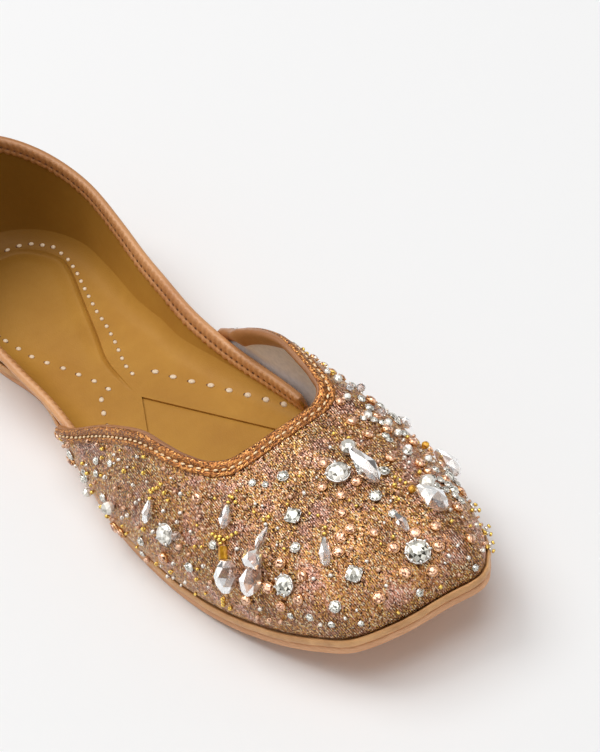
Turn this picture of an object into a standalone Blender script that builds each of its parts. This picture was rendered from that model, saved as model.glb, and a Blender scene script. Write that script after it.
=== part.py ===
"""Mojari shoe for the right foot: leather sole, glitter cloth vamp and a low leather quarter.

Run with: blender --background --python part.py
Metres, +Z up, toe towards +X, the inner (medial) side of the foot towards +Y.
"""
import math

import bmesh
import bpy
import numpy as np

# Driving sizes of the last and the shoe
SOLE_LENGTH = 0.2448
BALL_WIDTH = 0.0780
HEEL_WIDTH = 0.0520
TOE_SPRING = 0.0190
SPRING_START = 0.158
HEEL_HEIGHT = 0.0540
THROAT_HEIGHT = 0.0450
THROAT_START = 0.1745
THROAT_SWING = 0.0060

# Thicknesses of the layers and walls
OUTSOLE_THICKNESS = 0.0029
MIDSOLE_THICKNESS = 0.0027
INSOLE_THICKNESS = 0.0018
SOCK_THICKNESS = 0.0012
PAD_THICKNESS = 0.0010
VAMP_WALL = 0.0016
QUARTER_WALL = 0.0018

# Edges: the folded bindings and how far the pieces stand back from the sole's edge
BINDING_STEP = 0.0005
VAMP_BINDING = 0.0040
QUARTER_BINDING = 0.0034
FEATHER_INSET = 0.0008
EDGE_ROUND = 0.0006
GAP = 0.0003

# Where the shares of the width change from the heel's to the ball's, where the throat's
# middle line starts to swing and how strongly it bends: shares of the sole's length
WAIST_START = 0.25
WAIST_RUN = 0.35
AXIS_START = 0.30
AXIS_BEND = 1.5

# How far behind the wings the quarter's foot starts to move in for them, and over what run
LAP_LEAD = 0.0180
LAP_RUN = 0.0140

# How steeply the wings come back in above the quarter, over what turn, and how far ahead of
# the quarter's end they are back on the vamp's own curve
WING_LEAN = 0.5
WING_TURN = 0.0050
WING_FADE = 0.0300

# The wing's heel end on the sole, the notch in the sock and the cushion under the heel
WING_FOOT = 0.0960
NOTCH_START = 0.1005
NOTCH_REACH = 0.0510
NOTCH_HALF = 0.0256
PAD_START = 0.0085
PAD_LENGTH = 0.0860
PAD_HALF = 0.0170

# Side of each flat layer from its underside up: how far it stands in, share of EDGE_ROUND
# (of PAD_THICKNESS for the cushion), and how high, share of the layer's thickness
OUTSOLE_SIDE = ((1.0, 0.0), (0.0, 0.3), (0.0, 0.8), (0.5, 1.0))
MIDSOLE_SIDE = ((0.5, 0.0), (-0.5, 0.3), (-0.5, 0.7), (1.0, 1.0))
STRAIGHT_SIDE = ((0.0, 0.0), (0.0, 1.0))
PAD_SIDE = ((0.0, 0.0), (0.0, 0.4), (1.0, 0.85), (2.5, 1.0))

# How near the fold's last row is to the edge, share of EDGE_ROUND; how much of the binding's
# step shows on the quarter's inside; width left at the cushion's ends, share of its own
FOLD_TOP = 0.2
QUARTER_LINING_STEP = 0.6
PAD_POINT = 0.05

# How finely the curves are cut
SIDE_STEPS = 52
TOE_CROWDING = 1.35
FOOT_CROWDING = 1.4
SNUG = 0.05
VAMP_SIDE_RIBS = 40
VAMP_ROWS = 11
QUARTER_SIDE_RIBS = 30
QUARTER_ROWS = 6
PAD_STEPS = 24
FINE = 600

COLOURS = {
    "outsole": ((0.60, 0.34, 0.20), 0.60, 0.0),
    "midsole": ((0.33, 0.18, 0.09), 0.55, 0.0),
    "insole": ((0.44, 0.25, 0.07), 0.55, 0.0),
    "sock": ((0.46, 0.26, 0.08), 0.50, 0.0),
    "heel_pad": ((0.47, 0.27, 0.08), 0.50, 0.0),
    "vamp": ((0.38, 0.21, 0.12), 0.45, 0.4),
    "quarter": ((0.55, 0.27, 0.12), 0.50, 0.0),
}

# Sole outline from the heel back to the toe tip, one column for each side. along: share of
# the sole's length. outer and inner: share of the width there, from the straight axis.
OUTLINE_COLUMNS = ("along", "outer", "inner")
OUTLINE = (
    (0.000, 0.000, 0.000),
    (0.010, 0.170, 0.170),
    (0.040, 0.330, 0.330),
    (0.110, 0.472, 0.478),
    (0.190, 0.456, 0.472),
    (0.280, 0.406, 0.420),
    (0.370, 0.430, 0.406),
    (0.460, 0.443, 0.410),
    (0.560, 0.447, 0.445),
    (0.650, 0.449, 0.497),
    (0.740, 0.428, 0.540),
    (0.830, 0.370, 0.545),
    (0.910, 0.280, 0.490),
    (0.957, 0.196, 0.425),
    (0.980, 0.060, 0.372),
    (0.993, -0.150, 0.335),
    (1.000, -0.300, 0.300),
)

# Edge of the vamp's opening, from a wing's tip to the middle of the throat. along: share of
# THROAT_START. half: share of the ball's width. outer and inner: height on each side, share
# of THROAT_HEIGHT.
THROAT_COLUMNS = ("along", "half", "outer", "inner")
THROAT = (
    (0.596, 0.396, 0.490, 0.415),
    (0.660, 0.366, 0.622, 0.590),
    (0.720, 0.356, 0.773, 0.770),
    (0.780, 0.349, 0.904, 0.904),
    (0.845, 0.331, 1.007, 1.007),
    (0.905, 0.303, 1.031, 1.031),
    (0.955, 0.276, 1.013, 1.013),
    (0.982, 0.251, 0.991, 0.991),
    (0.996, 0.205, 0.969, 0.969),
    (1.000, 0.115, 0.960, 0.960),
    (1.000, 0.000, 0.960, 0.960),
)

# The vamp's ribs run from the sole to the opening's edge. foot: share of the way from the
# wing's heel end to the toe tip. edge: share of the way from the wing's tip to the throat's
# middle. outer and inner: how far each flank swells, share of the ball's width. rise: how
# high it does so, share of THROAT_HEIGHT. crown: reach of the top, share of THROAT_START.
# dip: slope at the edge, share of a quarter turn.
RIB_COLUMNS = ("foot", "edge", "outer", "inner", "rise", "crown", "dip")
RIBS = (
    (0.00, 0.00, 0.040, 0.040, 0.16, 0.030, 0.90),
    (0.15, 0.20, 0.085, 0.045, 0.22, 0.040, 0.80),
    (0.30, 0.42, 0.110, 0.045, 0.30, 0.060, 0.60),
    (0.45, 0.66, 0.108, 0.048, 0.36, 0.085, 0.42),
    (0.60, 0.80, 0.090, 0.050, 0.40, 0.110, 0.24),
    (0.75, 0.88, 0.070, 0.040, 0.36, 0.140, 0.10),
    (0.90, 0.95, 0.040, 0.025, 0.30, 0.170, 0.02),
    (1.00, 1.00, 0.010, 0.010, 0.24, 0.190, 0.00),
)

# Top line of the quarter from the heel back to its front end. foot: share of the sole's
# length where the rib stands. along: share of the sole's length where it ends. half: share
# of the width there. height: share of HEEL_HEIGHT. swell: share of the heel's width.
QUARTER_COLUMNS = ("foot", "along", "half", "height", "swell")
QUARTER = (
    (0.000, -0.008, 0.000, 1.000, 0.050),
    (0.010, 0.003, 0.220, 0.985, 0.050),
    (0.040, 0.033, 0.395, 0.925, 0.045),
    (0.080, 0.078, 0.520, 0.842, 0.035),
    (0.140, 0.140, 0.602, 0.724, 0.020),
    (0.212, 0.212, 0.596, 0.615, 0.010),
    (0.306, 0.306, 0.542, 0.500, 0.006),
    (0.400, 0.400, 0.453, 0.415, 0.006),
    (0.470, 0.470, 0.420, 0.368, 0.010),
    (0.596, 0.596, 0.410, 0.330, 0.012),
)

# Outline of the heel cushion. along: share of PAD_LENGTH. half: share of PAD_HALF.
PAD_COLUMNS = ("along", "half")
PAD = (
    (0.000, 0.000),
    (0.010, 0.330),
    (0.060, 0.720),
    (0.200, 1.000),
    (0.320, 0.920),
    (0.520, 0.580),
    (0.720, 0.280),
    (0.880, 0.100),
    (1.000, 0.000),
)


def column(table, names, name):
    """One named column of a table."""
    place = names.index(name)
    return np.array([row[place] for row in table])


def ease(value):
    """Smooth step from 0 to 1."""
    value = np.clip(value, 0.0, 1.0)
    return value * value * (3.0 - 2.0 * value)


def curve(knots, values, at):
    """Smooth curve through a table's column."""
    steps = np.diff(knots)
    slopes = np.diff(values) / steps
    tangents = np.empty(len(values))
    tangents[0] = slopes[0]
    tangents[-1] = slopes[-1]
    weight = steps[1:] + steps[:-1]
    tangents[1:-1] = (slopes[:-1] * steps[1:] + slopes[1:] * steps[:-1]) / weight
    at = np.clip(at, knots[0], knots[-1])
    cell = np.clip(np.searchsorted(knots, at, side="right") - 1, 0, len(steps) - 1)
    step = steps[cell]
    part = (at - knots[cell]) / step
    rest = 1.0 - part
    start = values[cell] * (1.0 + 2.0 * part) * rest ** 2 + tangents[cell] * step * part * rest ** 2
    end = values[cell + 1] * (3.0 - 2.0 * part) * part ** 2
    return start + end - tangents[cell + 1] * step * rest * part ** 2


def path_shares(points):
    """Share of the path's length at each of its points."""
    lengths = np.linalg.norm(np.diff(points, axis=0), axis=1)
    travelled = np.concatenate(([0.0], np.cumsum(lengths)))
    return travelled / travelled[-1]


def width_at(along):
    """Width that the tables' shares refer to: the heel's, then the ball's."""
    return HEEL_WIDTH + (BALL_WIDTH - HEEL_WIDTH) * ease((along - WAIST_START) / WAIST_RUN)


def side_outline(side, shares):
    """Plan points of one side of the sole from the heel back to the toe tip.

    side is -1 for the outer side and 1 for the inner one. Mirror rows at both ends keep the
    outline round at the heel and give the toe its small nose.
    """
    along = column(OUTLINE, OUTLINE_COLUMNS, "along")
    widths = width_at(along)
    name = "outer" if side < 0 else "inner"
    other = "inner" if side < 0 else "outer"
    across = side * column(OUTLINE, OUTLINE_COLUMNS, name) * widths
    beyond = -side * column(OUTLINE, OUTLINE_COLUMNS, other) * widths
    xs = np.concatenate(([along[1]], along, [along[-2]])) * SOLE_LENGTH
    ys = np.concatenate(([beyond[1]], across, [beyond[-2]]))
    points = np.stack([xs, ys], 1)
    knots = path_shares(points)
    fine = np.linspace(knots[1], knots[-2], FINE)
    dense = np.stack([curve(knots, points[:, axis], fine) for axis in (0, 1)], 1)
    dense_shares = path_shares(dense)
    return np.stack([np.interp(shares, dense_shares, dense[:, axis]) for axis in (0, 1)], 1)


def outward(loop):
    """Unit normals of a closed loop that runs anticlockwise, pointing out."""
    run = np.roll(loop, -1, axis=0) - np.roll(loop, 1, axis=0)
    run /= np.linalg.norm(run, axis=1)[:, None]
    return np.stack([run[:, 1], -run[:, 0]], 1)


def inset_loop(inset):
    """The sole's outline moved in, as one loop: outer side to the toe, back along the inner.

    inset gives the distance at each x. Where a tight turn would make the moved line cross
    itself, its loose end is left out and the two sides meet in one point.
    """
    fine = np.linspace(0.0, 1.0, FINE)
    edge = np.concatenate([side_outline(-1, fine), side_outline(1, fine)[-2:0:-1]])
    amount = inset(edge[:, 0])
    moved = edge - outward(edge) * amount[:, None]
    apart = np.array([np.linalg.norm(edge - point, axis=1).min() for point in moved])
    kept = apart >= amount - SNUG * GAP
    outer = moved[:FINE][kept[:FINE]]
    inner = np.concatenate([moved[:1], moved[:FINE - 2:-1][kept[:FINE - 2:-1]]])
    tip = (outer[-1] + inner[-1]) / 2.0
    steps = 1.0 - (1.0 - np.linspace(0.0, 1.0, SIDE_STEPS + 1)) ** TOE_CROWDING
    halves = []
    for half in (outer, inner):
        half = np.concatenate([half, [tip]])
        shares = path_shares(half)
        halves.append(np.stack([np.interp(steps, shares, half[:, axis]) for axis in (0, 1)], 1))
    return np.concatenate([halves[0], halves[1][-2:0:-1]])


def sole_edge(x):
    """How far the sole's own layers stand back from its outline: not at all."""
    return np.zeros(np.shape(x))


def spring(x):
    """Height of the sole's underside: flat from heel to ball, then lifted to the toe."""
    share = np.clip((x - SPRING_START) / (SOLE_LENGTH - SPRING_START), 0.0, None)
    return TOE_SPRING * share ** 2


MIDSOLE_LEVEL = OUTSOLE_THICKNESS + GAP
UPPER_LEVEL = MIDSOLE_LEVEL + MIDSOLE_THICKNESS + GAP
SOCK_LEVEL = UPPER_LEVEL + INSOLE_THICKNESS + GAP
PAD_LEVEL = SOCK_LEVEL + SOCK_THICKNESS + GAP


def throat_axis(x):
    """Middle line of the vamp's opening, which swings towards the inner side."""
    start = AXIS_START * SOLE_LENGTH
    share = np.clip((x - start) / (THROAT_START - start), 0.0, None)
    return THROAT_SWING * share ** AXIS_BEND


def lap(x):
    """0 behind the vamp's wings and 1 where the quarter stands inside them."""
    return ease((x - WING_FOOT + LAP_LEAD) / LAP_RUN)


def quarter_inset(x):
    """How far the quarter's foot stands back from the sole's edge."""
    return FEATHER_INSET + (VAMP_WALL + GAP + BINDING_STEP) * lap(x)


def insole_inset(x):
    """How far the insole's edge stands back: clear of both walls, then of the vamp alone."""
    return quarter_inset(x) + QUARTER_WALL + 3.0 * GAP


def build_mesh(name, vertices, faces):
    """A shaded object of the given mesh, with outward faces and its own material."""
    mesh = bpy.data.meshes.new(name)
    mesh.from_pydata([tuple(point) for point in vertices], [], [tuple(face) for face in faces])
    work = bmesh.new()
    work.from_mesh(mesh)
    bmesh.ops.recalc_face_normals(work, faces=work.faces)
    work.to_mesh(mesh)
    work.free()
    mesh.shade_smooth()
    mesh.set_sharp_from_angle(angle=math.radians(40.0))
    colour, roughness, metallic = COLOURS[name]
    material = bpy.data.materials.new(name)
    material.use_nodes = True
    shader = material.node_tree.nodes["Principled BSDF"]
    shader.inputs["Base Color"].default_value = (*colour, 1.0)
    shader.inputs["Roughness"].default_value = roughness
    shader.inputs["Metallic"].default_value = metallic
    mesh.materials.append(material)
    thing = bpy.data.objects.new(name, mesh)
    bpy.context.scene.collection.objects.link(thing)
    return thing


def stack(name, rings):
    """A closed body from rings up its side, with ladders of strips across its two ends.

    Each ring starts at the middle of one end, and its two halves mirror each other.
    """
    count = len(rings[0])
    faces = []
    for ring in range(len(rings) - 1):
        for step in range(count):
            here = ring * count + step
            beside = ring * count + (step + 1) % count
            faces.append((here, beside, beside + count, here + count))
    for base in (0, (len(rings) - 1) * count):
        for step in range(count // 2):
            strip = (base + step, base + step + 1, base + (count - step - 1) % count,
                     base + (count - step) % count)
            faces.append(tuple(dict.fromkeys(strip)))
    return build_mesh(name, np.concatenate(rings), faces)


def layer(name, level, thickness, side, inset):
    """A layer of the sole, from the shares of its side and its distance from the outline."""
    rings = []
    for inwards, upwards in side:
        loop = inset_loop(lambda x: inset(x) + inwards * EDGE_ROUND)
        rings.append(np.column_stack([loop, spring(loop[:, 0]) + level + upwards * thickness]))
    return stack(name, rings)


def quarter_row(shares):
    """The quarter's table read at shares of the way from the heel back to its front end.

    The row next to the heel back is mirrored behind it, so that the two sides join smoothly.
    """
    foot = column(QUARTER, QUARTER_COLUMNS, "foot")
    knots = np.sqrt(foot / foot[-1])
    knots = np.concatenate([[-knots[1]], knots])
    read = {}
    for name in QUARTER_COLUMNS:
        values = column(QUARTER, QUARTER_COLUMNS, name)
        mirrored = -values[1] if name == "half" else values[1]
        read[name] = curve(knots, np.concatenate([[mirrored], values]), shares)
    read["foot"] = foot[-1] * shares ** 2
    return read


def rib_row(side, way):
    """The ribs' table read at shares of the way to the toe tip, mirrored beyond the tip."""
    foot = column(RIBS, RIB_COLUMNS, "foot")
    knots = np.concatenate([foot, [2.0 - foot[-2]]])
    own, other = ("outer", "inner") if side < 0 else ("inner", "outer")
    read = {}
    for name in ("edge", "rise", "crown", "dip", own):
        values = column(RIBS, RIB_COLUMNS, name)
        beyond = values[-2]
        if name == "edge":
            beyond = 2.0 - values[-2]
        if name == own:
            beyond = column(RIBS, RIB_COLUMNS, other)[-2]
        read[name] = curve(knots, np.concatenate([values, [beyond]]), way)
    read["swell"] = read[own]
    return read


def side_frame(side, shares, inset):
    """Foot points of a wall on one side of the sole, and the directions straight out."""
    fine = np.linspace(0.0, 1.0, FINE)
    line = side_outline(side, fine)
    run = np.gradient(line, axis=0)
    run /= np.linalg.norm(run, axis=1)[:, None]
    normal = side * np.stack([-run[:, 1], run[:, 0]], 1)
    moved = line - normal * np.asarray(inset(line[:, 0]))[:, None]
    feet = np.stack([np.interp(shares, fine, moved[:, axis]) for axis in (0, 1)], 1)
    out = np.stack([np.interp(shares, fine, normal[:, axis]) for axis in (0, 1)], 1)
    return feet, out


def share_at(side, x):
    """Share of one side's outline at which it reaches x."""
    fine = np.linspace(0.0, 1.0, FINE)
    return np.interp(x, side_outline(side, fine)[:, 0], fine)


def quarter_side(side, steps):
    """Outer face of the quarter on one side: a grid of ribs from the heel back forwards."""
    row = quarter_row(steps)
    shares = share_at(side, row["foot"] * SOLE_LENGTH)
    feet, out = side_frame(side, shares, quarter_inset)
    up = np.linspace(0.0, 1.0, QUARTER_ROWS)
    top_x = row["along"] * SOLE_LENGTH
    top_y = side * row["half"] * width_at(row["along"])
    top_z = row["height"] * HEEL_HEIGHT
    swell = row["swell"] * HEEL_WIDTH
    bow = np.outer(swell, 4.0 * up * (1.0 - up))
    grid = np.empty((len(steps), len(up), 3))
    grid[:, :, 0] = feet[:, :1] + (top_x[:, None] - feet[:, :1]) * up + out[:, :1] * bow
    grid[:, :, 1] = feet[:, 1:] + (top_y[:, None] - feet[:, 1:]) * up + out[:, 1:] * bow
    grid[:, :, 2] = UPPER_LEVEL + (top_z[:, None] - UPPER_LEVEL) * up
    return grid


def quarter_reach(side, x, z):
    """How far out the quarter's outer face stands at x and z, and where its top line runs."""
    row = quarter_row(np.linspace(0.0, 1.0, FINE))
    foot_x = row["foot"] * SOLE_LENGTH
    feet, out = side_frame(side, share_at(side, foot_x), quarter_inset)
    foot_y = np.interp(x, foot_x, side * feet[:, 1])
    top_y = np.interp(x, foot_x, row["half"] * width_at(row["along"]))
    top_z = np.interp(x, foot_x, row["height"] * HEEL_HEIGHT)
    swell = np.interp(x, foot_x, row["swell"] * HEEL_WIDTH)
    up = np.clip((z - UPPER_LEVEL) / (top_z - UPPER_LEVEL), 0.0, 1.0)
    return foot_y + (top_y - foot_y) * up + swell * 4.0 * up * (1.0 - up), top_z


def throat_edge(side, shares):
    """Points on the edge of the vamp's opening, from a wing's tip to the throat's middle."""
    x = column(THROAT, THROAT_COLUMNS, "along") * THROAT_START
    half = column(THROAT, THROAT_COLUMNS, "half") * BALL_WIDTH
    z = column(THROAT, THROAT_COLUMNS, "outer" if side < 0 else "inner") * THROAT_HEIGHT
    points = np.stack([x, throat_axis(x) + side * half, z], 1)
    beyond = points[-2] + 2.0 * (points[-1] - points[-2])
    knots = path_shares(np.concatenate([points, [beyond]]))
    fine = np.linspace(0.0, knots[-2], FINE)
    points = np.concatenate([points, [beyond]])
    dense = np.stack([curve(knots, points[:, axis], fine) for axis in range(3)], 1)
    travelled = path_shares(dense)
    return np.stack([np.interp(shares, travelled, dense[:, axis]) for axis in range(3)], 1)


def vamp_side(side, steps):
    """Outer face of the vamp on one side: a grid of ribs from the wing's heel end to the toe."""
    way = 1.0 - (1.0 - steps) ** TOE_CROWDING
    row = rib_row(side, way)
    start = share_at(side, WING_FOOT)
    feet, out = side_frame(side, start + (1.0 - start) * way, vamp_inset)
    low = np.column_stack([feet, spring(feet[:, 0]) + UPPER_LEVEL])
    high = throat_edge(side, row["edge"])
    swell = row["swell"] * BALL_WIDTH
    low_handle = low + np.column_stack([out * swell[:, None], row["rise"] * THROAT_HEIGHT])
    plan = (low - high)[:, :2]
    plan /= np.linalg.norm(plan, axis=1)[:, None]
    dip = row["dip"] * math.pi / 2.0
    crown = row["crown"] * THROAT_START
    away = plan * (crown * np.cos(dip))[:, None]
    high_handle = high + np.column_stack([away, -crown * np.sin(dip)])
    up = np.linspace(0.0, 1.0, 4 * VAMP_ROWS)[None, :, None]
    rest = 1.0 - up
    grid = (low[:, None] * rest ** 3 + 3.0 * low_handle[:, None] * up * rest ** 2
            + 3.0 * high_handle[:, None] * up ** 2 * rest + high[:, None] * up ** 3)
    return clear_of_quarter(side, grid)


def vamp_inset(x):
    """How far the vamp's foot stands back from the sole's edge."""
    return np.full(np.shape(x), FEATHER_INSET)


def hinge(value, run):
    """Nothing below 0, then a soft turn over the run into the value itself."""
    turned = np.clip(value, 0.0, run) ** 2 / (2.0 * run)
    return turned + np.clip(value - run, 0.0, None)


def clear_of_quarter(side, grid):
    """Move the vamp's wings outwards where the quarter stands inside them."""
    x = grid[:, :, 0]
    reach, top = quarter_reach(side, x, grid[:, :, 2])
    end = QUARTER[-1][QUARTER_COLUMNS.index("foot")] * SOLE_LENGTH
    above = WING_LEAN * hinge(grid[:, :, 2] - top, WING_TURN)
    need = reach + VAMP_WALL + BINDING_STEP + 2.0 * GAP - above
    short = need - side * grid[:, :, 1]
    fade = 1.0 - ease((x - end - GAP) / WING_FADE)
    grid[:, :, 1] += side * fade * hinge(short + VAMP_WALL / 2.0, VAMP_WALL)
    return grid


def respace(grid, distances):
    """Points of each rib at the given distances down from its top edge."""
    rows = []
    for rib, wanted in zip(grid, distances):
        lengths = np.linalg.norm(np.diff(rib, axis=0), axis=1)
        travelled = np.concatenate(([0.0], np.cumsum(lengths)))
        places = travelled[-1] - wanted
        rows.append(np.stack([np.interp(places, travelled, rib[:, axis]) for axis in range(3)], 1))
    return np.array(rows)


def wall(name, grid, thickness, rows, binding, inner_step):
    """A hollow wall from the grid of its outer face, with a folded binding at its top edge.

    The grid's ribs run from the foot up, one after the other anticlockwise around the shoe.
    """
    lengths = np.linalg.norm(np.diff(grid, axis=1), axis=2).sum(axis=1)
    shares = np.linspace(1.0, 0.0, rows) ** (1.0 / FOOT_CROWDING)
    fold = (binding, EDGE_ROUND, FOLD_TOP * EDGE_ROUND)
    below = binding + BINDING_STEP
    distances = [np.concatenate([below + (length - below) * shares, fold]) for length in lengths]
    face = respace(grid, distances)
    top_shares = path_shares(face[:, -1])
    top_length = np.linalg.norm(np.diff(face[:, -1], axis=0), axis=1).sum()
    from_end = top_length * np.minimum(top_shares, 1.0 - top_shares)
    along = np.gradient(face, axis=0)
    up = np.gradient(face, axis=1)
    normal = np.cross(along, up)
    normal[:, 0, 2] = 0.0
    normal /= np.linalg.norm(normal, axis=2)[:, :, None]
    lift = np.outer(ease(from_end / binding), BINDING_STEP * (np.arange(rows + 3) >= rows))
    drawn = EDGE_ROUND * (np.arange(rows + 3) == rows + 2)
    outer = face + normal * (lift - drawn)[:, :, None]
    inner = face - normal * (thickness + inner_step * lift)[:, :, None]
    sections = np.concatenate([outer, inner[:, ::-1]], axis=1)
    for foot in (0, -1):
        sections[:, foot, 2] = spring(sections[:, foot, 0]) + UPPER_LEVEL
    count = sections.shape[1]
    faces = []
    for rib in range(len(sections) - 1):
        for step in range(count):
            here = rib * count + step
            beside = rib * count + (step + 1) % count
            faces.append((here, beside, beside + count, here + count))
    for base in (0, (len(sections) - 1) * count):
        for step in range(count // 2 - 1):
            far = base + count - step - 1
            faces.append((base + step, base + step + 1, far - 1, far))
    return build_mesh(name, sections.reshape(-1, 3), faces)


def make_sole():
    """Outsole, the band of the midsole above it, and the insole inside the upper."""
    layer("outsole", 0.0, OUTSOLE_THICKNESS, OUTSOLE_SIDE, sole_edge)
    layer("midsole", MIDSOLE_LEVEL, MIDSOLE_THICKNESS, MIDSOLE_SIDE, sole_edge)
    layer("insole", UPPER_LEVEL, INSOLE_THICKNESS, STRAIGHT_SIDE, insole_inset)


def make_sock():
    """The leather sock on the insole, cut out in a V towards the toe, and its heel cushion."""
    sock = layer("sock", SOCK_LEVEL, SOCK_THICKNESS, STRAIGHT_SIDE, insole_inset)
    reach = SOLE_LENGTH / NOTCH_REACH
    far = np.array([[NOTCH_START, 0.0], [NOTCH_START + NOTCH_REACH * reach, NOTCH_HALF * reach],
                    [NOTCH_START + NOTCH_REACH * reach, -NOTCH_HALF * reach]])
    low = np.column_stack([far, np.full(3, -TOE_SPRING)])
    high = np.column_stack([far, np.full(3, 3.0 * TOE_SPRING)])
    mesh = bpy.data.meshes.new("notch")
    faces = [(0, 1, 2), (5, 4, 3), (0, 3, 4, 1), (1, 4, 5, 2), (2, 5, 3, 0)]
    mesh.from_pydata(np.concatenate([low, high]).tolist(), [], faces)
    cutter = bpy.data.objects.new("notch_cutter", mesh)
    bpy.context.scene.collection.objects.link(cutter)
    cutter.hide_render = True
    cutter.display_type = "WIRE"
    cut = sock.modifiers.new("notch", "BOOLEAN")
    cut.object = cutter
    cut.operation = "DIFFERENCE"


def make_heel_pad():
    """The leaf-shaped cushion on the sock, from the heel to the point of the notch."""
    steps = np.linspace(0.0, 1.0, PAD_STEPS + 1)
    along = column(PAD, PAD_COLUMNS, "along")
    half = column(PAD, PAD_COLUMNS, "half")
    knots = path_shares(np.stack([along * PAD_LENGTH, half * PAD_HALF], 1))
    x = PAD_START + PAD_LENGTH * curve(knots, along, steps)
    y = PAD_HALF * curve(knots, half, steps)
    rings = []
    for inwards, upwards in PAD_SIDE:
        inset = inwards * PAD_THICKNESS
        width = np.clip(y - inset, PAD_POINT * y, None)
        length = np.clip(x, PAD_START + inset, PAD_START + PAD_LENGTH - inset)
        back = np.stack([length, width], 1)[-2:0:-1]
        loop = np.concatenate([np.stack([length, -width], 1), back])
        height = PAD_LEVEL + upwards * PAD_THICKNESS
        rings.append(np.column_stack([loop, np.full(len(loop), height)]))
    stack("heel_pad", rings)


def stand_on_origin():
    """Move the shoe so that its box stands on the origin, centred in plan."""
    pieces = [thing for thing in bpy.data.objects if not thing.hide_render]
    corners = np.array([tuple(vertex.co) for thing in pieces for vertex in thing.data.vertices])
    low = corners.min(axis=0)
    high = corners.max(axis=0)
    shift = (-(low[0] + high[0]) / 2.0, -(low[1] + high[1]) / 2.0, -low[2])
    for thing in bpy.data.objects:
        thing.location = shift


def make_upper():
    """The vamp and the quarter: two hollow walls on one last, the vamp's wings outside."""
    steps = np.linspace(0.0, 1.0, VAMP_SIDE_RIBS + 1)
    outer = vamp_side(-1, steps)
    inner = vamp_side(1, steps)
    grid = np.concatenate([outer, inner[-2::-1]])
    wall("vamp", grid, VAMP_WALL, VAMP_ROWS, VAMP_BINDING, 0.0)
    steps = np.linspace(0.0, 1.0, QUARTER_SIDE_RIBS + 1)
    outer = quarter_side(-1, steps)
    inner = quarter_side(1, steps)
    grid = np.concatenate([inner[::-1], outer[1:]])
    wall("quarter", grid, QUARTER_WALL, QUARTER_ROWS, QUARTER_BINDING, QUARTER_LINING_STEP)


def main():
    for thing in list(bpy.data.objects):
        bpy.data.objects.remove(thing)
    make_sole()
    make_sock()
    make_heel_pad()
    make_upper()
    stand_on_origin()


main()
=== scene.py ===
"""Looks of the mojari shoe: beaded glitter cloth, copper leather quarter, tan sock, thin sole.

Lengths are in metres. Shapes are worked out on the last, with the heel's back at 0, the toe
towards +X and the inner side of the foot towards +Y, and moved to the model when they are made.
"""
import math

import bpy
import numpy as np
from mathutils import Matrix, Vector
from mathutils.bvhtree import BVHTree
from mathutils.geometry import delaunay_2d_cdt


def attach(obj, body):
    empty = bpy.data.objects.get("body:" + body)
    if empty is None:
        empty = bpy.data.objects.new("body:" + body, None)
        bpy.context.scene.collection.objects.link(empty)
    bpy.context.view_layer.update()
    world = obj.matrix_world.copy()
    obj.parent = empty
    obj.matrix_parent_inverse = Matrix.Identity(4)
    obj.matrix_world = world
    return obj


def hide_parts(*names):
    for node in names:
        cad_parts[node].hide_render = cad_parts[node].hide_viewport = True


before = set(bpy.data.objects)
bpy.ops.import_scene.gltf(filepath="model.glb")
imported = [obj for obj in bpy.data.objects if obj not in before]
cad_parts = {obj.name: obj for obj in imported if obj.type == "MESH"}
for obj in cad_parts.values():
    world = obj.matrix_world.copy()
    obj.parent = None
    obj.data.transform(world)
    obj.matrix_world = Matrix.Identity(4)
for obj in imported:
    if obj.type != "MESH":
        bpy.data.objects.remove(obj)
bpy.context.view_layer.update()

# From the last to the model
TO_MODEL = np.array([-0.121098, -0.003134, 0.0])

# Sizes of the shoe, as in its solids
SOLE_LENGTH = 0.2448
BALL_WIDTH = 0.0780
HEEL_WIDTH = 0.0520
TOE_SPRING = 0.0190
SPRING_START = 0.158
HEEL_HEIGHT = 0.0540
THROAT_HEIGHT = 0.0450
THROAT_START = 0.1745
THROAT_SWING = 0.0060
OUTSOLE_THICKNESS = 0.0029
MIDSOLE_THICKNESS = 0.0027
INSOLE_THICKNESS = 0.0018
SOCK_THICKNESS = 0.0012
VAMP_WALL = 0.0016
QUARTER_WALL = 0.0018
BINDING_STEP = 0.0005
FEATHER_INSET = 0.0008
GAP = 0.0003
WAIST_START = 0.25
WAIST_RUN = 0.35
AXIS_START = 0.30
AXIS_BEND = 1.5
LAP_LEAD = 0.0180
LAP_RUN = 0.0140
WING_LEAN = 0.5
WING_TURN = 0.0050
WING_FADE = 0.0300
WING_FOOT = 0.0960
NOTCH_START = 0.1005
NOTCH_REACH = 0.0510
NOTCH_HALF = 0.0256
TOE_CROWDING = 1.35
FINE = 600
FINE_STEPS = np.linspace(0.0, 1.0, FINE)
SNUG = 0.05
MIDSOLE_LEVEL = OUTSOLE_THICKNESS + GAP
UPPER_LEVEL = MIDSOLE_LEVEL + MIDSOLE_THICKNESS + GAP
SOCK_LEVEL = UPPER_LEVEL + INSOLE_THICKNESS + GAP

# Sections of the last, the same tables as the solids have

# Columns: along, outer, inner
OUTLINE = np.array((
    (0.000, 0.000, 0.000),
    (0.010, 0.170, 0.170),
    (0.040, 0.330, 0.330),
    (0.110, 0.472, 0.478),
    (0.190, 0.456, 0.472),
    (0.280, 0.406, 0.420),
    (0.370, 0.430, 0.406),
    (0.460, 0.443, 0.410),
    (0.560, 0.447, 0.445),
    (0.650, 0.449, 0.497),
    (0.740, 0.428, 0.540),
    (0.830, 0.370, 0.545),
    (0.910, 0.280, 0.490),
    (0.957, 0.196, 0.425),
    (0.980, 0.060, 0.372),
    (0.993, -0.150, 0.335),
    (1.000, -0.300, 0.300),
))
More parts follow.
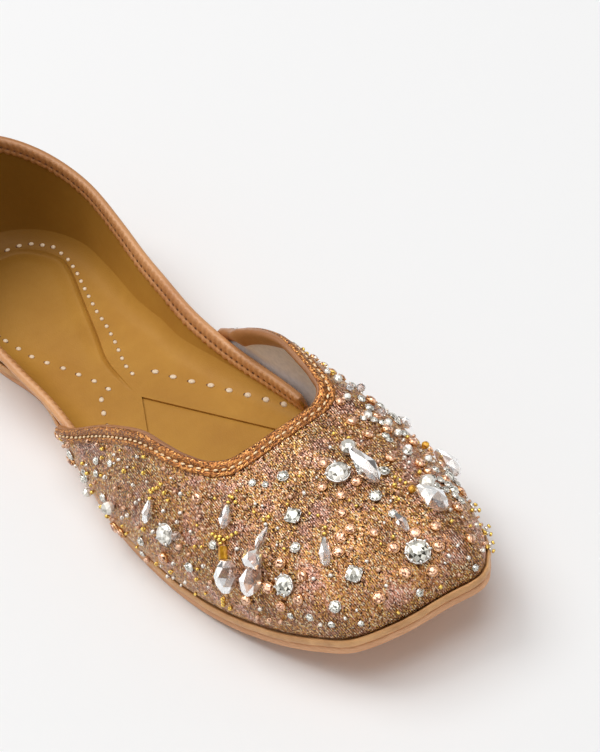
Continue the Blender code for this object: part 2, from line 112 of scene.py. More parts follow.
# Columns: along, half, outer, inner
THROAT = np.array((
    (0.596, 0.396, 0.490, 0.415),
    (0.660, 0.366, 0.622, 0.590),
    (0.720, 0.356, 0.773, 0.770),
    (0.780, 0.349, 0.904, 0.904),
    (0.845, 0.331, 1.007, 1.007),
    (0.905, 0.303, 1.031, 1.031),
    (0.955, 0.276, 1.013, 1.013),
    (0.982, 0.251, 0.991, 0.991),
    (0.996, 0.205, 0.969, 0.969),
    (1.000, 0.115, 0.960, 0.960),
    (1.000, 0.000, 0.960, 0.960),
))
# Columns: foot, edge, outer, inner, rise, crown, dip
RIBS = np.array((
    (0.00, 0.00, 0.040, 0.040, 0.16, 0.030, 0.90),
    (0.15, 0.20, 0.085, 0.045, 0.22, 0.040, 0.80),
    (0.30, 0.42, 0.110, 0.045, 0.30, 0.060, 0.60),
    (0.45, 0.66, 0.108, 0.048, 0.36, 0.085, 0.42),
    (0.60, 0.80, 0.090, 0.050, 0.40, 0.110, 0.24),
    (0.75, 0.88, 0.070, 0.040, 0.36, 0.140, 0.10),
    (0.90, 0.95, 0.040, 0.025, 0.30, 0.170, 0.02),
    (1.00, 1.00, 0.010, 0.010, 0.24, 0.190, 0.00),
))
# Columns: foot, along, half, height, swell
QUARTER = np.array((
    (0.000, -0.008, 0.000, 1.000, 0.050),
    (0.010, 0.003, 0.220, 0.985, 0.050),
    (0.040, 0.033, 0.395, 0.925, 0.045),
    (0.080, 0.078, 0.520, 0.842, 0.035),
    (0.140, 0.140, 0.602, 0.724, 0.020),
    (0.212, 0.212, 0.596, 0.615, 0.010),
    (0.306, 0.306, 0.542, 0.500, 0.006),
    (0.400, 0.400, 0.453, 0.415, 0.006),
    (0.470, 0.470, 0.420, 0.368, 0.010),
    (0.596, 0.596, 0.410, 0.330, 0.012),
))

# Camera: the photograph's angle to the shoe, in degrees, metres and pixels of 600 by 752
VIEW_AZIMUTH = 63.9
VIEW_ELEVATION = 43.9
VIEW_ROLL = -14.7
VIEW_DISTANCE = 0.7842
VIEW_FOCAL = 2551.9
VIEW_TARGET = np.array([0.1356, 0.0380, 0.0150]) + TO_MODEL
IMAGE_WIDTH = 600
IMAGE_HEIGHT = 752
PIXEL = VIEW_DISTANCE / VIEW_FOCAL


# The last's curves

def unit(vectors):
    """Vectors scaled to a length of 1."""
    return vectors / np.linalg.norm(vectors, axis=-1, keepdims=True)


def ease(value):
    """Smooth step from 0 to 1."""
    value = np.clip(value, 0.0, 1.0)
    return value * value * (3.0 - 2.0 * value)


def curve(knots, values, at):
    """Smooth curve through a table's rows, which stand at knots."""
    steps = np.diff(knots)[:, None]
    slopes = np.diff(values, axis=0) / steps
    between = (slopes[:-1] * steps[1:] + slopes[1:] * steps[:-1]) / (steps[1:] + steps[:-1])
    tangents = np.concatenate([slopes[:1], between, slopes[-1:]])
    at = np.clip(at, knots[0], knots[-1])
    cell = np.clip(np.searchsorted(knots, at, side="right") - 1, 0, len(steps) - 1)
    step = steps[cell]
    part = (at - knots[cell])[:, None] / step
    rest = 1.0 - part
    start = values[cell] * (1.0 + 2.0 * part) * rest ** 2 + tangents[cell] * step * part * rest ** 2
    end = values[cell + 1] * (3.0 - 2.0 * part) * part ** 2
    return start + end - tangents[cell + 1] * step * rest * part ** 2


def read_at(places, knots, values):
    """A table's rows read in straight lines between its knots."""
    return np.stack([np.interp(places, knots, values_in) for values_in in values.T], -1)


def path_shares(points):
    """Share of the path's length at each of its points."""
    lengths = np.linalg.norm(np.diff(points, axis=0), axis=1)
    travelled = np.concatenate(([0.0], np.cumsum(lengths)))
    return travelled / travelled[-1]


def at_shares(points, shares):
    """Points on a path at shares of its length."""
    return read_at(shares, path_shares(points), points)


def width_at(along):
    """Width that the tables' shares refer to: the heel's, then the ball's."""
    return HEEL_WIDTH + (BALL_WIDTH - HEEL_WIDTH) * ease((along - WAIST_START) / WAIST_RUN)


def side_outline(side, shares):
    """Plan points of one side of the sole: side is -1 for the outer and 1 for the inner."""
    along = OUTLINE[:, 0]
    own, other = OUTLINE[:, 1:].T[::-side] * width_at(along) * side
    xs = np.concatenate(([along[1]], along, [along[-2]])) * SOLE_LENGTH
    points = np.stack([xs, np.concatenate(([-other[1]], own, [-other[-2]]))], 1)
    knots = path_shares(points)
    return at_shares(curve(knots, points, np.linspace(knots[1], knots[-2], FINE)), shares)


def outward(loop):
    """Unit normals of a closed loop that runs anticlockwise, pointing out."""
    run = unit(np.roll(loop, -1, axis=0) - np.roll(loop, 1, axis=0))
    return np.stack([run[:, 1], -run[:, 0]], 1)


def inset_loop(inset, steps):
    """The sole's outline moved in: outer side to the toe, then back along the inner side."""
    edge = np.concatenate([side_outline(-1, FINE_STEPS), side_outline(1, FINE_STEPS)[-2:0:-1]])
    amount = inset(edge[:, 0])
    moved = edge - outward(edge) * amount[:, None]
    apart = np.array([np.linalg.norm(edge - point, axis=1).min() for point in moved])
    kept = apart >= amount - SNUG * GAP
    outer = moved[:FINE][kept[:FINE]]
    inner = np.concatenate([moved[:1], moved[:FINE - 2:-1][kept[:FINE - 2:-1]]])
    tip = (outer[-1] + inner[-1]) / 2.0
    shares = 1.0 - (1.0 - np.linspace(0.0, 1.0, steps + 1)) ** TOE_CROWDING
    halves = [at_shares(np.concatenate([half, [tip]]), shares) for half in (outer, inner)]
    return np.concatenate([halves[0], halves[1][-2:0:-1]])


def spring(x):
    """Height of the sole's underside: flat from heel to ball, then lifted to the toe."""
    share = np.clip((x - SPRING_START) / (SOLE_LENGTH - SPRING_START), 0.0, None)
    return TOE_SPRING * share ** 2


def throat_axis(x):
    """Middle line of the vamp's opening, which swings towards the inner side."""
    start = AXIS_START * SOLE_LENGTH
    share = np.clip((x - start) / (THROAT_START - start), 0.0, None)
    return THROAT_SWING * share ** AXIS_BEND


def vamp_inset(x):
    """How far the vamp's foot stands back from the sole's edge."""
    return np.full(np.shape(x), FEATHER_INSET)


def quarter_inset(x):
    """How far the quarter's foot stands back from the sole's edge."""
    lap = ease((x - WING_FOOT + LAP_LEAD) / LAP_RUN)
    return FEATHER_INSET + (VAMP_WALL + GAP + BINDING_STEP) * lap


def side_frame(side, shares, inset):
    """Foot points of a wall on one side of the sole, and the directions straight out."""
    line = side_outline(side, FINE_STEPS)
    run = unit(np.gradient(line, axis=0))
    normal = side * np.stack([-run[:, 1], run[:, 0]], 1)
    moved = line - normal * inset(line[:, 0])[:, None]
    return read_at(shares, FINE_STEPS, moved), read_at(shares, FINE_STEPS, normal)


def share_at(side, x):
    """Share of one side's outline at which it reaches x."""
    return np.interp(x, side_outline(side, FINE_STEPS)[:, 0], FINE_STEPS)


def quarter_columns(shares):
    """The quarter's table read at shares of the way from the heel back to its front end."""
    foot = QUARTER[:, 0]
    knots = np.sqrt(foot / foot[-1])
    mirrored = QUARTER[1] * (1.0, 1.0, -1.0, 1.0, 1.0)
    read = curve(np.append(-knots[1], knots), np.concatenate([[mirrored], QUARTER]), shares)
    read[:, 0] = foot[-1] * shares ** 2
    return read.T


def quarter_side(side, steps, rows):
    """Outer face of the quarter on one side: a grid of ribs from the heel back forwards."""
    foot, along, half, height, swell = quarter_columns(steps)
    feet, out = side_frame(side, share_at(side, foot * SOLE_LENGTH), quarter_inset)
    up = np.linspace(0.0, 1.0, rows)[:, None]
    top = np.column_stack([along * SOLE_LENGTH, side * half * width_at(along)])
    bow = (swell * HEEL_WIDTH)[:, None, None] * (4.0 * up * (1.0 - up))
    plan = feet[:, None] + (top - feet)[:, None] * up + out[:, None] * bow
    rise = UPPER_LEVEL + (height * HEEL_HEIGHT - UPPER_LEVEL)[:, None, None] * up
    return np.concatenate([plan, rise], 2)


def quarter_reach(side, x, z):
    """How far out the quarter's outer face stands at x and z, and where its top line runs."""
    foot, along, half, height, swell = quarter_columns(FINE_STEPS)
    foot_x = foot * SOLE_LENGTH
    feet, _ = side_frame(side, share_at(side, foot_x), quarter_inset)
    foot_y, top_y, top_z, swell = (np.interp(x, foot_x, values) for values in (
        side * feet[:, 1], half * width_at(along), height * HEEL_HEIGHT, swell * HEEL_WIDTH))
    up = np.clip((z - UPPER_LEVEL) / (top_z - UPPER_LEVEL), 0.0, 1.0)
    return foot_y + (top_y - foot_y) * up + swell * 4.0 * up * (1.0 - up), top_z


def throat_edge(side, shares):
    """Points on the edge of the vamp's opening, from a wing's tip to the throat's middle."""
    along, half, outer, inner = THROAT.T
    x = along * THROAT_START
    height = (outer if side < 0 else inner) * THROAT_HEIGHT
    points = np.stack([x, throat_axis(x) + side * half * BALL_WIDTH, height], 1)
    points = np.concatenate([points, [2.0 * points[-1] - points[-2]]])
    knots = path_shares(points)
    return at_shares(curve(knots, points, np.linspace(0.0, knots[-2], FINE)), shares)


def hinge(value, run):
    """Nothing below 0, then a soft turn over the run into the value itself."""
    return np.clip(value, 0.0, run) ** 2 / (2.0 * run) + np.clip(value - run, 0.0, None)


def vamp_side(side, steps, rows):
    """Outer face of the vamp on one side: a grid of ribs from the wing's heel end to the toe."""
    way = 1.0 - (1.0 - steps) ** TOE_CROWDING
    beyond = RIBS[-2, [0, 1, 3, 2, 4, 5, 6]]
    beyond[:2] = 2.0 - beyond[:2]
    table = np.concatenate([RIBS, [beyond]])
    _, edge, outer, inner, rise, crown, dip = curve(table[:, 0], table, way).T
    start = share_at(side, WING_FOOT)
    feet, out = side_frame(side, start + (1.0 - start) * way, vamp_inset)
    low = np.column_stack([feet, spring(feet[:, 0]) + UPPER_LEVEL])
    high = throat_edge(side, edge)
    swell = out * ((outer if side < 0 else inner) * BALL_WIDTH)[:, None]
    low_handle = low + np.column_stack([swell, rise * THROAT_HEIGHT])
    dip = dip * math.pi / 2.0
    crown = crown * THROAT_START
    away = unit((low - high)[:, :2]) * (crown * np.cos(dip))[:, None]
    high_handle = high + np.column_stack([away, -crown * np.sin(dip)])
    up = np.linspace(0.0, 1.0, rows)[None, :, None]
    rest = 1.0 - up
    grid = (low[:, None] * rest ** 3 + 3.0 * low_handle[:, None] * up * rest ** 2
            + 3.0 * high_handle[:, None] * up ** 2 * rest + high[:, None] * up ** 3)
    x = grid[:, :, 0]
    reach, top = quarter_reach(side, x, grid[:, :, 2])
    end = QUARTER[-1, 0] * SOLE_LENGTH
    above = hinge(grid[:, :, 2] - top, WING_TURN)
    need = reach + VAMP_WALL + BINDING_STEP + 2.0 * GAP - WING_LEAN * above
    fade = 1.0 - ease((x - end - GAP) / WING_FADE)
    short = need - side * grid[:, :, 1]
    grid[:, :, 1] += side * fade * hinge(short + VAMP_WALL / 2.0, VAMP_WALL)
    return grid


class Wall:
    """The outer face of a hollow wall, read by its ribs, depth below the top edge and offset."""

    def __init__(self, grid):
        self.grid = grid
        steps = np.linalg.norm(np.diff(grid, axis=1), axis=2)
        self.travelled = np.concatenate([np.zeros((len(grid), 1)), np.cumsum(steps, axis=1)], 1)
        self.length = self.travelled[:, -1]
        up = np.gradient(grid, axis=1)
        self.normal = unit(np.cross(np.gradient(grid, axis=0), up))
        self.up = unit(up)
        self.edge_shares = path_shares(grid[:, -1])
        self.edge_length = np.linalg.norm(np.diff(grid[:, -1], axis=0), axis=1).sum()

    def read(self, rib, depth):
        """Position and normal on one rib at a depth below its edge, or at several depths."""
        place = np.asarray(self.length[rib] - depth)
        known = self.travelled[rib]
        kept = np.clip(place, 0.0, known[-1])
        point, normal, up = (read_at(kept, known, values[rib])
                             for values in (self.grid, self.normal, self.up))
        return point + up * (place - kept)[..., None], normal

    def rows(self, depths, offsets):
        """A grid of points at depths below the edge (one row of them per rib) and offsets out."""
        found = [self.read(rib, depth) for rib, depth in enumerate(depths)]
        return np.array([point + normal * out[:, None]
                         for (point, normal), out in zip(found, offsets)])

    def along(self, share, depth, offset):
        """Position, normal and direction of travel at a share of the edge's length."""
        rib = np.interp(share, self.edge_shares, np.arange(len(self.grid)))
        low = int(min(rib, len(self.grid) - 2))
        part = rib - low
        here, ahead = self.read(low, depth), self.read(low + 1, depth)
        normal = unit(here[1] * (1.0 - part) + ahead[1] * part)
        place = here[0] * (1.0 - part) + ahead[0] * part
        return place + normal * offset, normal, unit(ahead[0] - here[0])


# Making pieces

def make_piece(name, vertices, faces, material, uv=None, glint_shares=None, smooth=True,
               crease=None):
    """A mesh piece on the last's frame, moved to the model, with its material and maps."""
    mesh = bpy.data.meshes.new(name)
    mesh.from_pydata((np.asarray(vertices) + TO_MODEL).tolist(), [], faces)
    mesh.validate()
    if smooth:
        mesh.shade_smooth()
    if crease:
        mesh.set_sharp_from_angle(angle=math.radians(crease))
    if uv is not None:
        layer = mesh.uv_layers.new(name="UVMap")
        index = np.zeros(len(mesh.loops), np.int32)
        mesh.loops.foreach_get("vertex_index", index)
        layer.data.foreach_set("uv", np.asarray(uv, np.float32)[index].ravel())
    # Each face's random share, for the gems' painted reflections
    if glint_shares is not None:
        tone = mesh.attributes.new("tone", "FLOAT", "FACE")
        tone.data.foreach_set("value", np.asarray(glint_shares, np.float32))
    mesh.materials.append(material)
    thing = bpy.data.objects.new(name, mesh)
    bpy.context.scene.collection.objects.link(thing)
    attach(thing, "root")
    return thing


def tube_faces(ribs, count, closed_ends=True):
    """Faces of a closed section of count points swept over ribs, with strips over the ends."""
    faces = [(rib * count + step, rib * count + (step + 1) % count,
              (rib + 1) * count + (step + 1) % count, (rib + 1) * count + step)
             for rib in range(ribs - 1) for step in range(count)]
    if closed_ends:
        faces.append(tuple(range(count - 1, -1, -1)))
        faces.append(tuple(range((ribs - 1) * count, ribs * count)))
    return faces


def sheet_faces(ribs, rows):
    """Faces of a closed slab: an outer grid of ribs by rows, then its inner one, and the rims."""
    faces = []
    inner = ribs * rows
    for rib in range(ribs - 1):
        for row in range(rows - 1):
            here = rib * rows + row
            faces.append((here, here + rows, here + rows + 1, here + 1))
            faces.append(tuple(inner + here + step for step in (0, 1, rows + 1, rows)))
    rims = [(rib * rows + row, rows, row > 0) for rib in range(ribs - 1) for row in (0, rows - 1)]
    rims += [(rib * rows + row, 1, rib == 0) for rib in (0, ribs - 1) for row in range(rows - 1)]
    for here, step, flip in rims:
        rim = (here, inner + here, inner + here + step, here + step)
        faces.append(rim[::-1] if flip else rim)
    return faces


# Materials

def put(made, inputs):
    """Set a node's inputs, each to a value or to another node's output."""
    for key, value in inputs.items():
        if isinstance(value, bpy.types.NodeSocket):
            made.id_data.links.new(value, made.inputs[key])
        else:
            made.inputs[key].default_value = value


def node(tree, kind, inputs=None, **settings):
    """A node with its settings and inputs."""
    made = tree.nodes.new(kind)
    for key, value in settings.items():
        setattr(made, key, value)
    put(made, inputs or {})
    return made


def new_material(name):
    """A material with its tree and shader, and the texture coordinates that it reads."""
    material = bpy.data.materials.new(name)
    material.use_nodes = True
    tree = material.node_tree
    return material, tree, tree.nodes["Principled BSDF"], node(tree, "ShaderNodeTexCoord").outputs


def calc(tree, operation, *values, vector=False):
    """The result of a math node, or of a vector math node."""
    made = node(tree, "ShaderNodeVectorMath" if vector else "ShaderNodeMath",
                dict(enumerate(values)), operation=operation)
    return made.outputs["Vector" if vector and operation != "DOT_PRODUCT" else "Value"]


def ramp(tree, factor, stops, blend="LINEAR"):
    """A colour ramp through (place, colour) stops."""
    made = node(tree, "ShaderNodeValToRGB", {"Fac": factor})
    made.color_ramp.interpolation = blend
    points = made.color_ramp.elements
    while len(points) < len(stops):
        points.new(0.5)
    for point, (place, colour) in zip(points, stops):
        point.position = place
        point.color = (*colour, 1.0)
    return made.outputs["Color"]


def scaled(colour, share):
    """A colour times a share."""
    return tuple(share * part for part in colour)


def greys(*stops):
    """Stops of a ramp from (place, brightness)."""
    return tuple((place, (value,) * 3) for place, value in stops)


def spread(tree, factor, low, high):
    """A factor of 0 to 1 spread between two values."""
    return node(tree, "ShaderNodeMapRange",
                {"Value": factor, "To Min": low, "To Max": high}).outputs["Result"]


def blend_colours(tree, factor, first, second, mode="MIX"):
    """Two colours mixed by a factor."""
    first, second = (value if isinstance(value, bpy.types.NodeSocket) else (*value, 1.0)
                     for value in (first, second))
    return node(tree, "ShaderNodeMix", {0: factor, 6: first, 7: second}, data_type="RGBA",
                blend_type=mode).outputs[2]


def noise(tree, place, scale, detail=3.0, roughness=0.5):
    """A noise texture's value."""
    return node(tree, "ShaderNodeTexNoise", {"Vector": place, "Scale": scale, "Detail": detail,
                                             "Roughness": roughness}).outputs["Fac"]


def flakes_of(tree, place, scale):
    """The cells of a Voronoi texture."""
    return node(tree, "ShaderNodeTexVoronoi", {"Vector": place, "Scale": scale}).outputs


def mapped(tree, place, **inputs):
    """Coordinates scaled or turned."""
    return node(tree, "ShaderNodeMapping", {"Vector": place, **inputs}).outputs["Vector"]


def glint_of_facet(tree):
    """The random share that sets each gem facet's painted reflection."""
    return node(tree, "ShaderNodeAttribute", attribute_name="tone").outputs["Fac"]


def bump(tree, height, strength, distance, normal=None):
    """A bump from a height texture."""
    inputs = {"Height": height, "Strength": strength, "Distance": distance}
    if normal is not None:
        inputs["Normal"] = normal
    return node(tree, "ShaderNodeBump", inputs).outputs["Normal"]


def leather(name, light, dark, rough=0.5, grain=1500.0, relief=0.00012, coat=0.15, patch=28.0,
            heel=None, layered=False, gloss=0.5):
    """Leather: pebbled grain, pores, patches of darker dye, and painted shade that darkens it
    towards the heel.
    """
    material, tree, shader, place = new_material(name)
    spot = place["Object"]
    fine = noise(tree, spot, 420.0, 4.0, 0.65)
    colour = ramp(tree, noise(tree, spot, patch, 5.0, 0.6), ((0.30, dark), (0.62, light)))
    colour = blend_colours(tree, spread(tree, fine, 0.0, 0.30), colour, dark)
    if layered:
        fibre = noise(tree, mapped(tree, spot, Scale=(0.12, 0.12, 1.6)), 1500.0, 3.0, 0.7)
        fine = calc(tree, "ADD", fine, fibre)
        fibre = ramp(tree, fibre, greys((0.42, 0.55), (0.62, 0.0)))
        colour = blend_colours(tree, fibre, colour, dark)
    # Painted shade: the colour darkens towards the heel's hollow
    if heel:
        along = node(tree, "ShaderNodeSeparateXYZ", {"Vector": spot}).outputs["X"]
        heel_shade_share = node(tree, "ShaderNodeMapRange", {
            "Value": along, "From Min": HEEL_SHADE_FULL, "From Max": HEEL_SHADE_END, "To Min": 0.85,
            "To Max": 0.0}, interpolation_type="SMOOTHSTEP").outputs["Result"]
        colour = blend_colours(tree, heel_shade_share, colour, heel)
    height = calc(tree, "ADD", flakes_of(tree, spot, grain)["Distance"], fine)
    put(shader, {"Base Color": colour, "Roughness": spread(tree, fine, rough - 0.10, rough + 0.12),
                 "Normal": bump(tree, height, 0.55, relief), "Coat Weight": coat,
                 "Coat Roughness": 0.35, "Specular IOR Level": gloss})
    return material


def glitter(name, stops, cell, period, ways, tilt, valley_shade, rosy=None):
    """Metallic cloth: flakes of several colours on a twill, each flake tilted its own way, with
    painted shade in the twill's valleys.

    cell is a flake's size and period the distance between the twill's ribs. ways holds the
    directions across the ribs, along them and out of the cloth, or the ribs' turn on the UV map
    in metres of a flat strip. rosy holds the colours of its second kind of patch.
    """
    material, tree, shader, place = new_material(name)
    spot = place["Object"]
    own = node(tree, "ShaderNodeNewGeometry").outputs["Normal"]
    on_strip = isinstance(ways, float)
    if on_strip:
        laid = mapped(tree, place["UV"], Rotation=(0.0, 0.0, math.radians(ways)))
    else:
        parts = {axis: calc(tree, "DOT_PRODUCT", spot, way, vector=True)
                 for axis, way in zip("XYZ", ways)}
        laid = node(tree, "ShaderNodeCombineXYZ", parts).outputs["Vector"]
    flakes = flakes_of(tree, mapped(tree, laid, Scale=(1.0, 0.5, 0.6)), 1.0 / cell)["Color"]
    pick, sheen, _ = node(tree, "ShaderNodeSeparateColor", {"Color": flakes}).outputs
    wave = node(tree, "ShaderNodeTexWave", {"Vector": laid, "Scale": math.pi / 10.0 / period,
                                            "Distortion": 1.2, "Detail": 1.0, "Detail Scale": 1.5})
    tint = ramp(tree, pick, stops, "CONSTANT")
    if rosy:
        share = ramp(tree, noise(tree, spot, 95.0, 4.0, 0.7), greys((0.50, 0.0), (0.62, 0.9)))
        tint = blend_colours(tree, share, tint, ramp(tree, pick, rosy, "CONSTANT"))
    plainer = ramp(tree, noise(tree, spot, 55.0, 4.0, 0.6), greys((0.40, 0.35), (0.60, 1.0)))
    # The twill's valleys: grooves for the bump, and painted shade that darkens the colour there
    shaded_valley = calc(tree, "MULTIPLY", spread(tree, wave.outputs["Fac"], valley_shade, 0.0), plainer)
    if not on_strip:
        facing = calc(tree, "ABSOLUTE", calc(tree, "DOT_PRODUCT", own, ways[0], vector=True))
        facing = ramp(tree, facing, greys((0.72, 1.0), (0.90, 0.0)))
        shaded_valley = calc(tree, "MULTIPLY", shaded_valley, facing)
    lean = calc(tree, "SUBTRACT", flakes, (0.5, 0.5, 0.5), vector=True)
    lean = calc(tree, "MULTIPLY_ADD", lean, (2.0 * tilt,) * 3, own, vector=True)
    lean = calc(tree, "NORMALIZE", lean, vector=True)
    # The flakes' colour darkened by the painted shade in the valleys
    colour = blend_colours(tree, shaded_valley, tint, scaled(stops[0][1], 0.5))
    put(shader, {"Base Color": colour, "Roughness": spread(tree, sheen, 0.22, 0.55),
                 "Metallic": SHINE,
                 "Normal": bump(tree, calc(tree, "MULTIPLY", shaded_valley, -1.0), 0.8, 0.00015, lean)})
    return material


def plain(name, colour, rough, metallic=0.0, fleck=None, relief=0.00004, scale=1800.0, sheen=0.0):
    """A small-part material: a fine mottle of two colours, with a slight unevenness."""
    material, tree, shader, place = new_material(name)
    mottle = noise(tree, place["Object"], scale, 3.0, 0.6)
    fleck = fleck or scaled(colour, 0.7)
    put(shader, {"Base Color": ramp(tree, mottle, ((0.35, fleck), (0.65, colour))),
                 "Roughness": spread(tree, mottle, max(rough - 0.08, 0.02), rough + 0.08),
                 "Normal": bump(tree, mottle, 0.3, relief), "Metallic": metallic,
                 "Sheen Weight": sheen})
    return material


def foiled(name, light, dark, tint_low=0.10, rough=0.05, metallic=0.55):
    """Cut glass on foil, with painted reflections: each facet painted light or dark by its own
    random share.
    """
    material, tree, shader, place = new_material(name)
    deep = noise(tree, place["Object"], 2400.0, 2.0, 0.6)
    half_lit = scaled(light, 0.6)
    stops = ((0.0, dark), (tint_low, dark), (tint_low + 0.12, half_lit), (0.5, light))
    colour = ramp(tree, glint_of_facet(tree), stops)
    put(shader, {"Base Color": blend_colours(tree, spread(tree, deep, 0.0, 0.35), colour, dark),
                 "Roughness": spread(tree, deep, rough, rough + 0.08), "Metallic": metallic,
                 "Coat Weight": 1.0, "Coat Roughness": 0.03})
    return material


def clear_glass(name, stops, through=0.78):
    """Cut glass that is cloudy, with painted reflections: each facet painted its own tint."""
    material, tree, shader, place = new_material(name)
    cloud = noise(tree, place["Object"], 420.0, 2.0, 0.5)
    tint = ramp(tree, glint_of_facet(tree), stops, "CONSTANT")
    colour = blend_colours(tree, spread(tree, cloud, 0.0, 0.25), tint, stops[0][1])
    put(shader, {"Base Color": colour, "Roughness": spread(tree, cloud, 0.02, 0.08), "IOR": 1.55,
                 "Transmission Weight": through, "Coat Weight": 0.6, "Coat Roughness": 0.02})
    return material


SHINE = 0.6
# Places along the shoe between which the painted shade at the heel fades
HEEL_SHADE_FULL = -0.118
HEEL_SHADE_END = -0.045
TWILL_WAYS = ((0.132, 0.942, 0.308), (0.751, 0.108, -0.651), (0.647, -0.317, 0.693))
MUSTARD = (0.52, 0.262, 0.040)
MUSTARD_DARK = (0.40, 0.182, 0.024)
COPPER = (0.74, 0.37, 0.145)
COPPER_DARK = (0.50, 0.21, 0.075)

# Colour of the painted shade in the heel's hollow, for the lining and the sock
HEEL_SHADE = (0.19, 0.080, 0.004)
# The quarter's leather gets painted shade too, darkening it towards the heel
quarter_skin = leather("quarter_skin", COPPER, COPPER_DARK, 0.42, coat=0.2,
                       heel=(0.38, 0.155, 0.045))
lining_skin = leather("lining_skin", MUSTARD, MUSTARD_DARK, 0.6, 2200.0, 0.00005, 0.0,
                      heel=HEEL_SHADE, gloss=0.3)
sock_skin = leather("sock_skin", MUSTARD, MUSTARD_DARK, 0.6, 2000.0, 0.00006, 0.0, heel=HEEL_SHADE,
                    gloss=0.3)
sole_skin = leather("sole_skin", (0.86, 0.48, 0.26), (0.58, 0.27, 0.12), 0.62, 900.0, 0.00018, 0.0,
                    layered=True)
band_skin = leather("band_skin", (0.82, 0.45, 0.180), (0.50, 0.23, 0.075), 0.46, 1300.0, 0.00014,
                    patch=90.0)
# Painted shade: the binding's inner fold is the copper leather painted darker, a shaded copy of it
fold_skin = leather("fold_skin", (0.44, 0.19, 0.065), (0.28, 0.10, 0.025), 0.45, 1800.0, 0.00006,
                    0.2)

CLOTH_STOPS = (
    (0.00, (0.072, 0.024, 0.006)),
    (0.14, (0.218, 0.077, 0.017)),
    (0.34, (0.420, 0.174, 0.042)),
    (0.54, (0.570, 0.271, 0.086)),
    (0.68, (0.588, 0.287, 0.179)),
    (0.80, (0.765, 0.466, 0.118)),
    (0.88, (0.839, 0.667, 0.425)),
)
ROSY_STOPS = (
    (0.00, (0.126, 0.041, 0.023)),
    (0.20, (0.379, 0.164, 0.101)),
    (0.48, (0.614, 0.319, 0.234)),
    (0.74, (0.758, 0.442, 0.375)),
    (0.90, (0.902, 0.720, 0.625)),
)
cloth = glitter("glitter_cloth", CLOTH_STOPS, 0.00027, 0.00060, TWILL_WAYS, 0.5, 0.75, ROSY_STOPS)
TAPE_STOPS = (
    (0.00, (0.104, 0.029, 0.006)),
    (0.24, (0.279, 0.092, 0.018)),
    (0.55, (0.507, 0.191, 0.045)),
    (0.86, (0.822, 0.412, 0.122)),
)
tape = glitter("binding_tape", TAPE_STOPS, 0.00025, 0.00055, 62.0, 0.3, 0.5)
fleece = plain("grey_fleece", (0.96, 0.98, 1.0), 0.9, 0.0, (0.80, 0.83, 0.87), 0.00015, 520.0, 0.5)
cream_thread = plain("cream_thread", (0.90, 0.76, 0.56), 0.6, 0.0, (0.70, 0.52, 0.34))
gold_thread = plain("gold_thread", (0.99, 0.80, 0.52), 0.35, 0.2, (0.80, 0.52, 0.26))
# Painted shade of the stitch holes: dark bars where the holes are
hole_shade = plain("stitch_hole", (0.16, 0.060, 0.018), 0.7)
gold_metal = plain("gold_metal", (0.66, 0.36, 0.16), 0.25, 1.0)
gold_bead = plain("gold_bead", (0.88, 0.60, 0.14), 0.16, 0.75)
silver_metal = plain("silver_metal", (0.62, 0.60, 0.57), 0.22, 1.0)
silver_bead = plain("silver_bead", (0.86, 0.80, 0.72), 0.12, 0.6)
peach_bead = plain("peach_bead", (0.86, 0.52, 0.34), 0.14, 0.35)
amber_glass = plain("amber_glass", (0.86, 0.46, 0.03), 0.10, 0.3, (0.42, 0.15, 0.010), scale=900.0)
# Foil-backed stones: painted reflections, their facets painted light or dark
clear_foil = foiled("clear_foil", (0.94, 0.92, 0.82), (0.12, 0.11, 0.085), 0.16)
rose_foil = foiled("rose_foil", (1.0, 0.60, 0.38), (0.30, 0.095, 0.028), 0.28, metallic=0.6)
# Painted reflections of the glass drops: the colours their facets are painted, dark to bright
DROP_STOPS = ((0.0, (0.40, 0.31, 0.25)), (0.18, (0.92, 0.86, 0.83)), (0.44, (0.76, 0.88, 0.98)),
              (0.60, (0.98, 0.96, 0.94)), (0.82, (0.88, 0.68, 0.62)))
PEACH_STOPS = ((0.0, (0.50, 0.32, 0.22)), (0.25, (0.95, 0.76, 0.64)), (0.55, (0.98, 0.90, 0.86)),
               (0.8, (0.90, 0.62, 0.48)))
drop_glass = clear_glass("drop_glass", DROP_STOPS)
peach_glass = clear_glass("peach_glass", PEACH_STOPS)
# Oval stones: painted reflections too, facet by facet
oval_glass = foiled("oval_foil", (0.97, 0.94, 0.86), (0.42, 0.39, 0.33), metallic=0.35)


# The vamp: cloth outside, grey lining inside, and the folded tape around the throat

VAMP_HALF_RIBS = 130
VAMP_ROWS = 76
SAMPLES = 200
CLOTH_DEPTH = 0.0008
WALL_CROWDING = 1.4
FADE_LENGTH = 0.0015
VAMP_TOP = 0.0016
QUARTER_TOP = 0.0012

steps = np.linspace(0.0, 1.0, VAMP_HALF_RIBS + 1)
vamp = Wall(np.concatenate([vamp_side(-1, steps, SAMPLES), vamp_side(1, steps, SAMPLES)[-2::-1]]))


def make_slab(name, wall, top, rows, front, back, material):
    """A thin layer of a wall, from its foot up to a depth of top, between two offsets."""
    shares = np.linspace(1.0, 0.0, rows) ** (1.0 / WALL_CROWDING)
    depths = top + (wall.length[:, None] - top) * shares
    sides = [wall.rows(depths, np.full(depths.shape, offset)) for offset in (front, back)]
    for grid in sides:
        grid[:, 0, 2] = spring(grid[:, 0, 0]) + UPPER_LEVEL
    return make_piece(name, np.concatenate(sides).reshape(-1, 3), sheet_faces(len(depths), rows),
                      material)


vamp_cloth = make_slab("vamp_cloth", vamp, VAMP_TOP, VAMP_ROWS, 0.0, -CLOTH_DEPTH, cloth)
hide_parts("vamp")
make_slab("vamp_lining", vamp, VAMP_TOP, 40, -CLOTH_DEPTH - 0.00005, -VAMP_WALL, fleece)


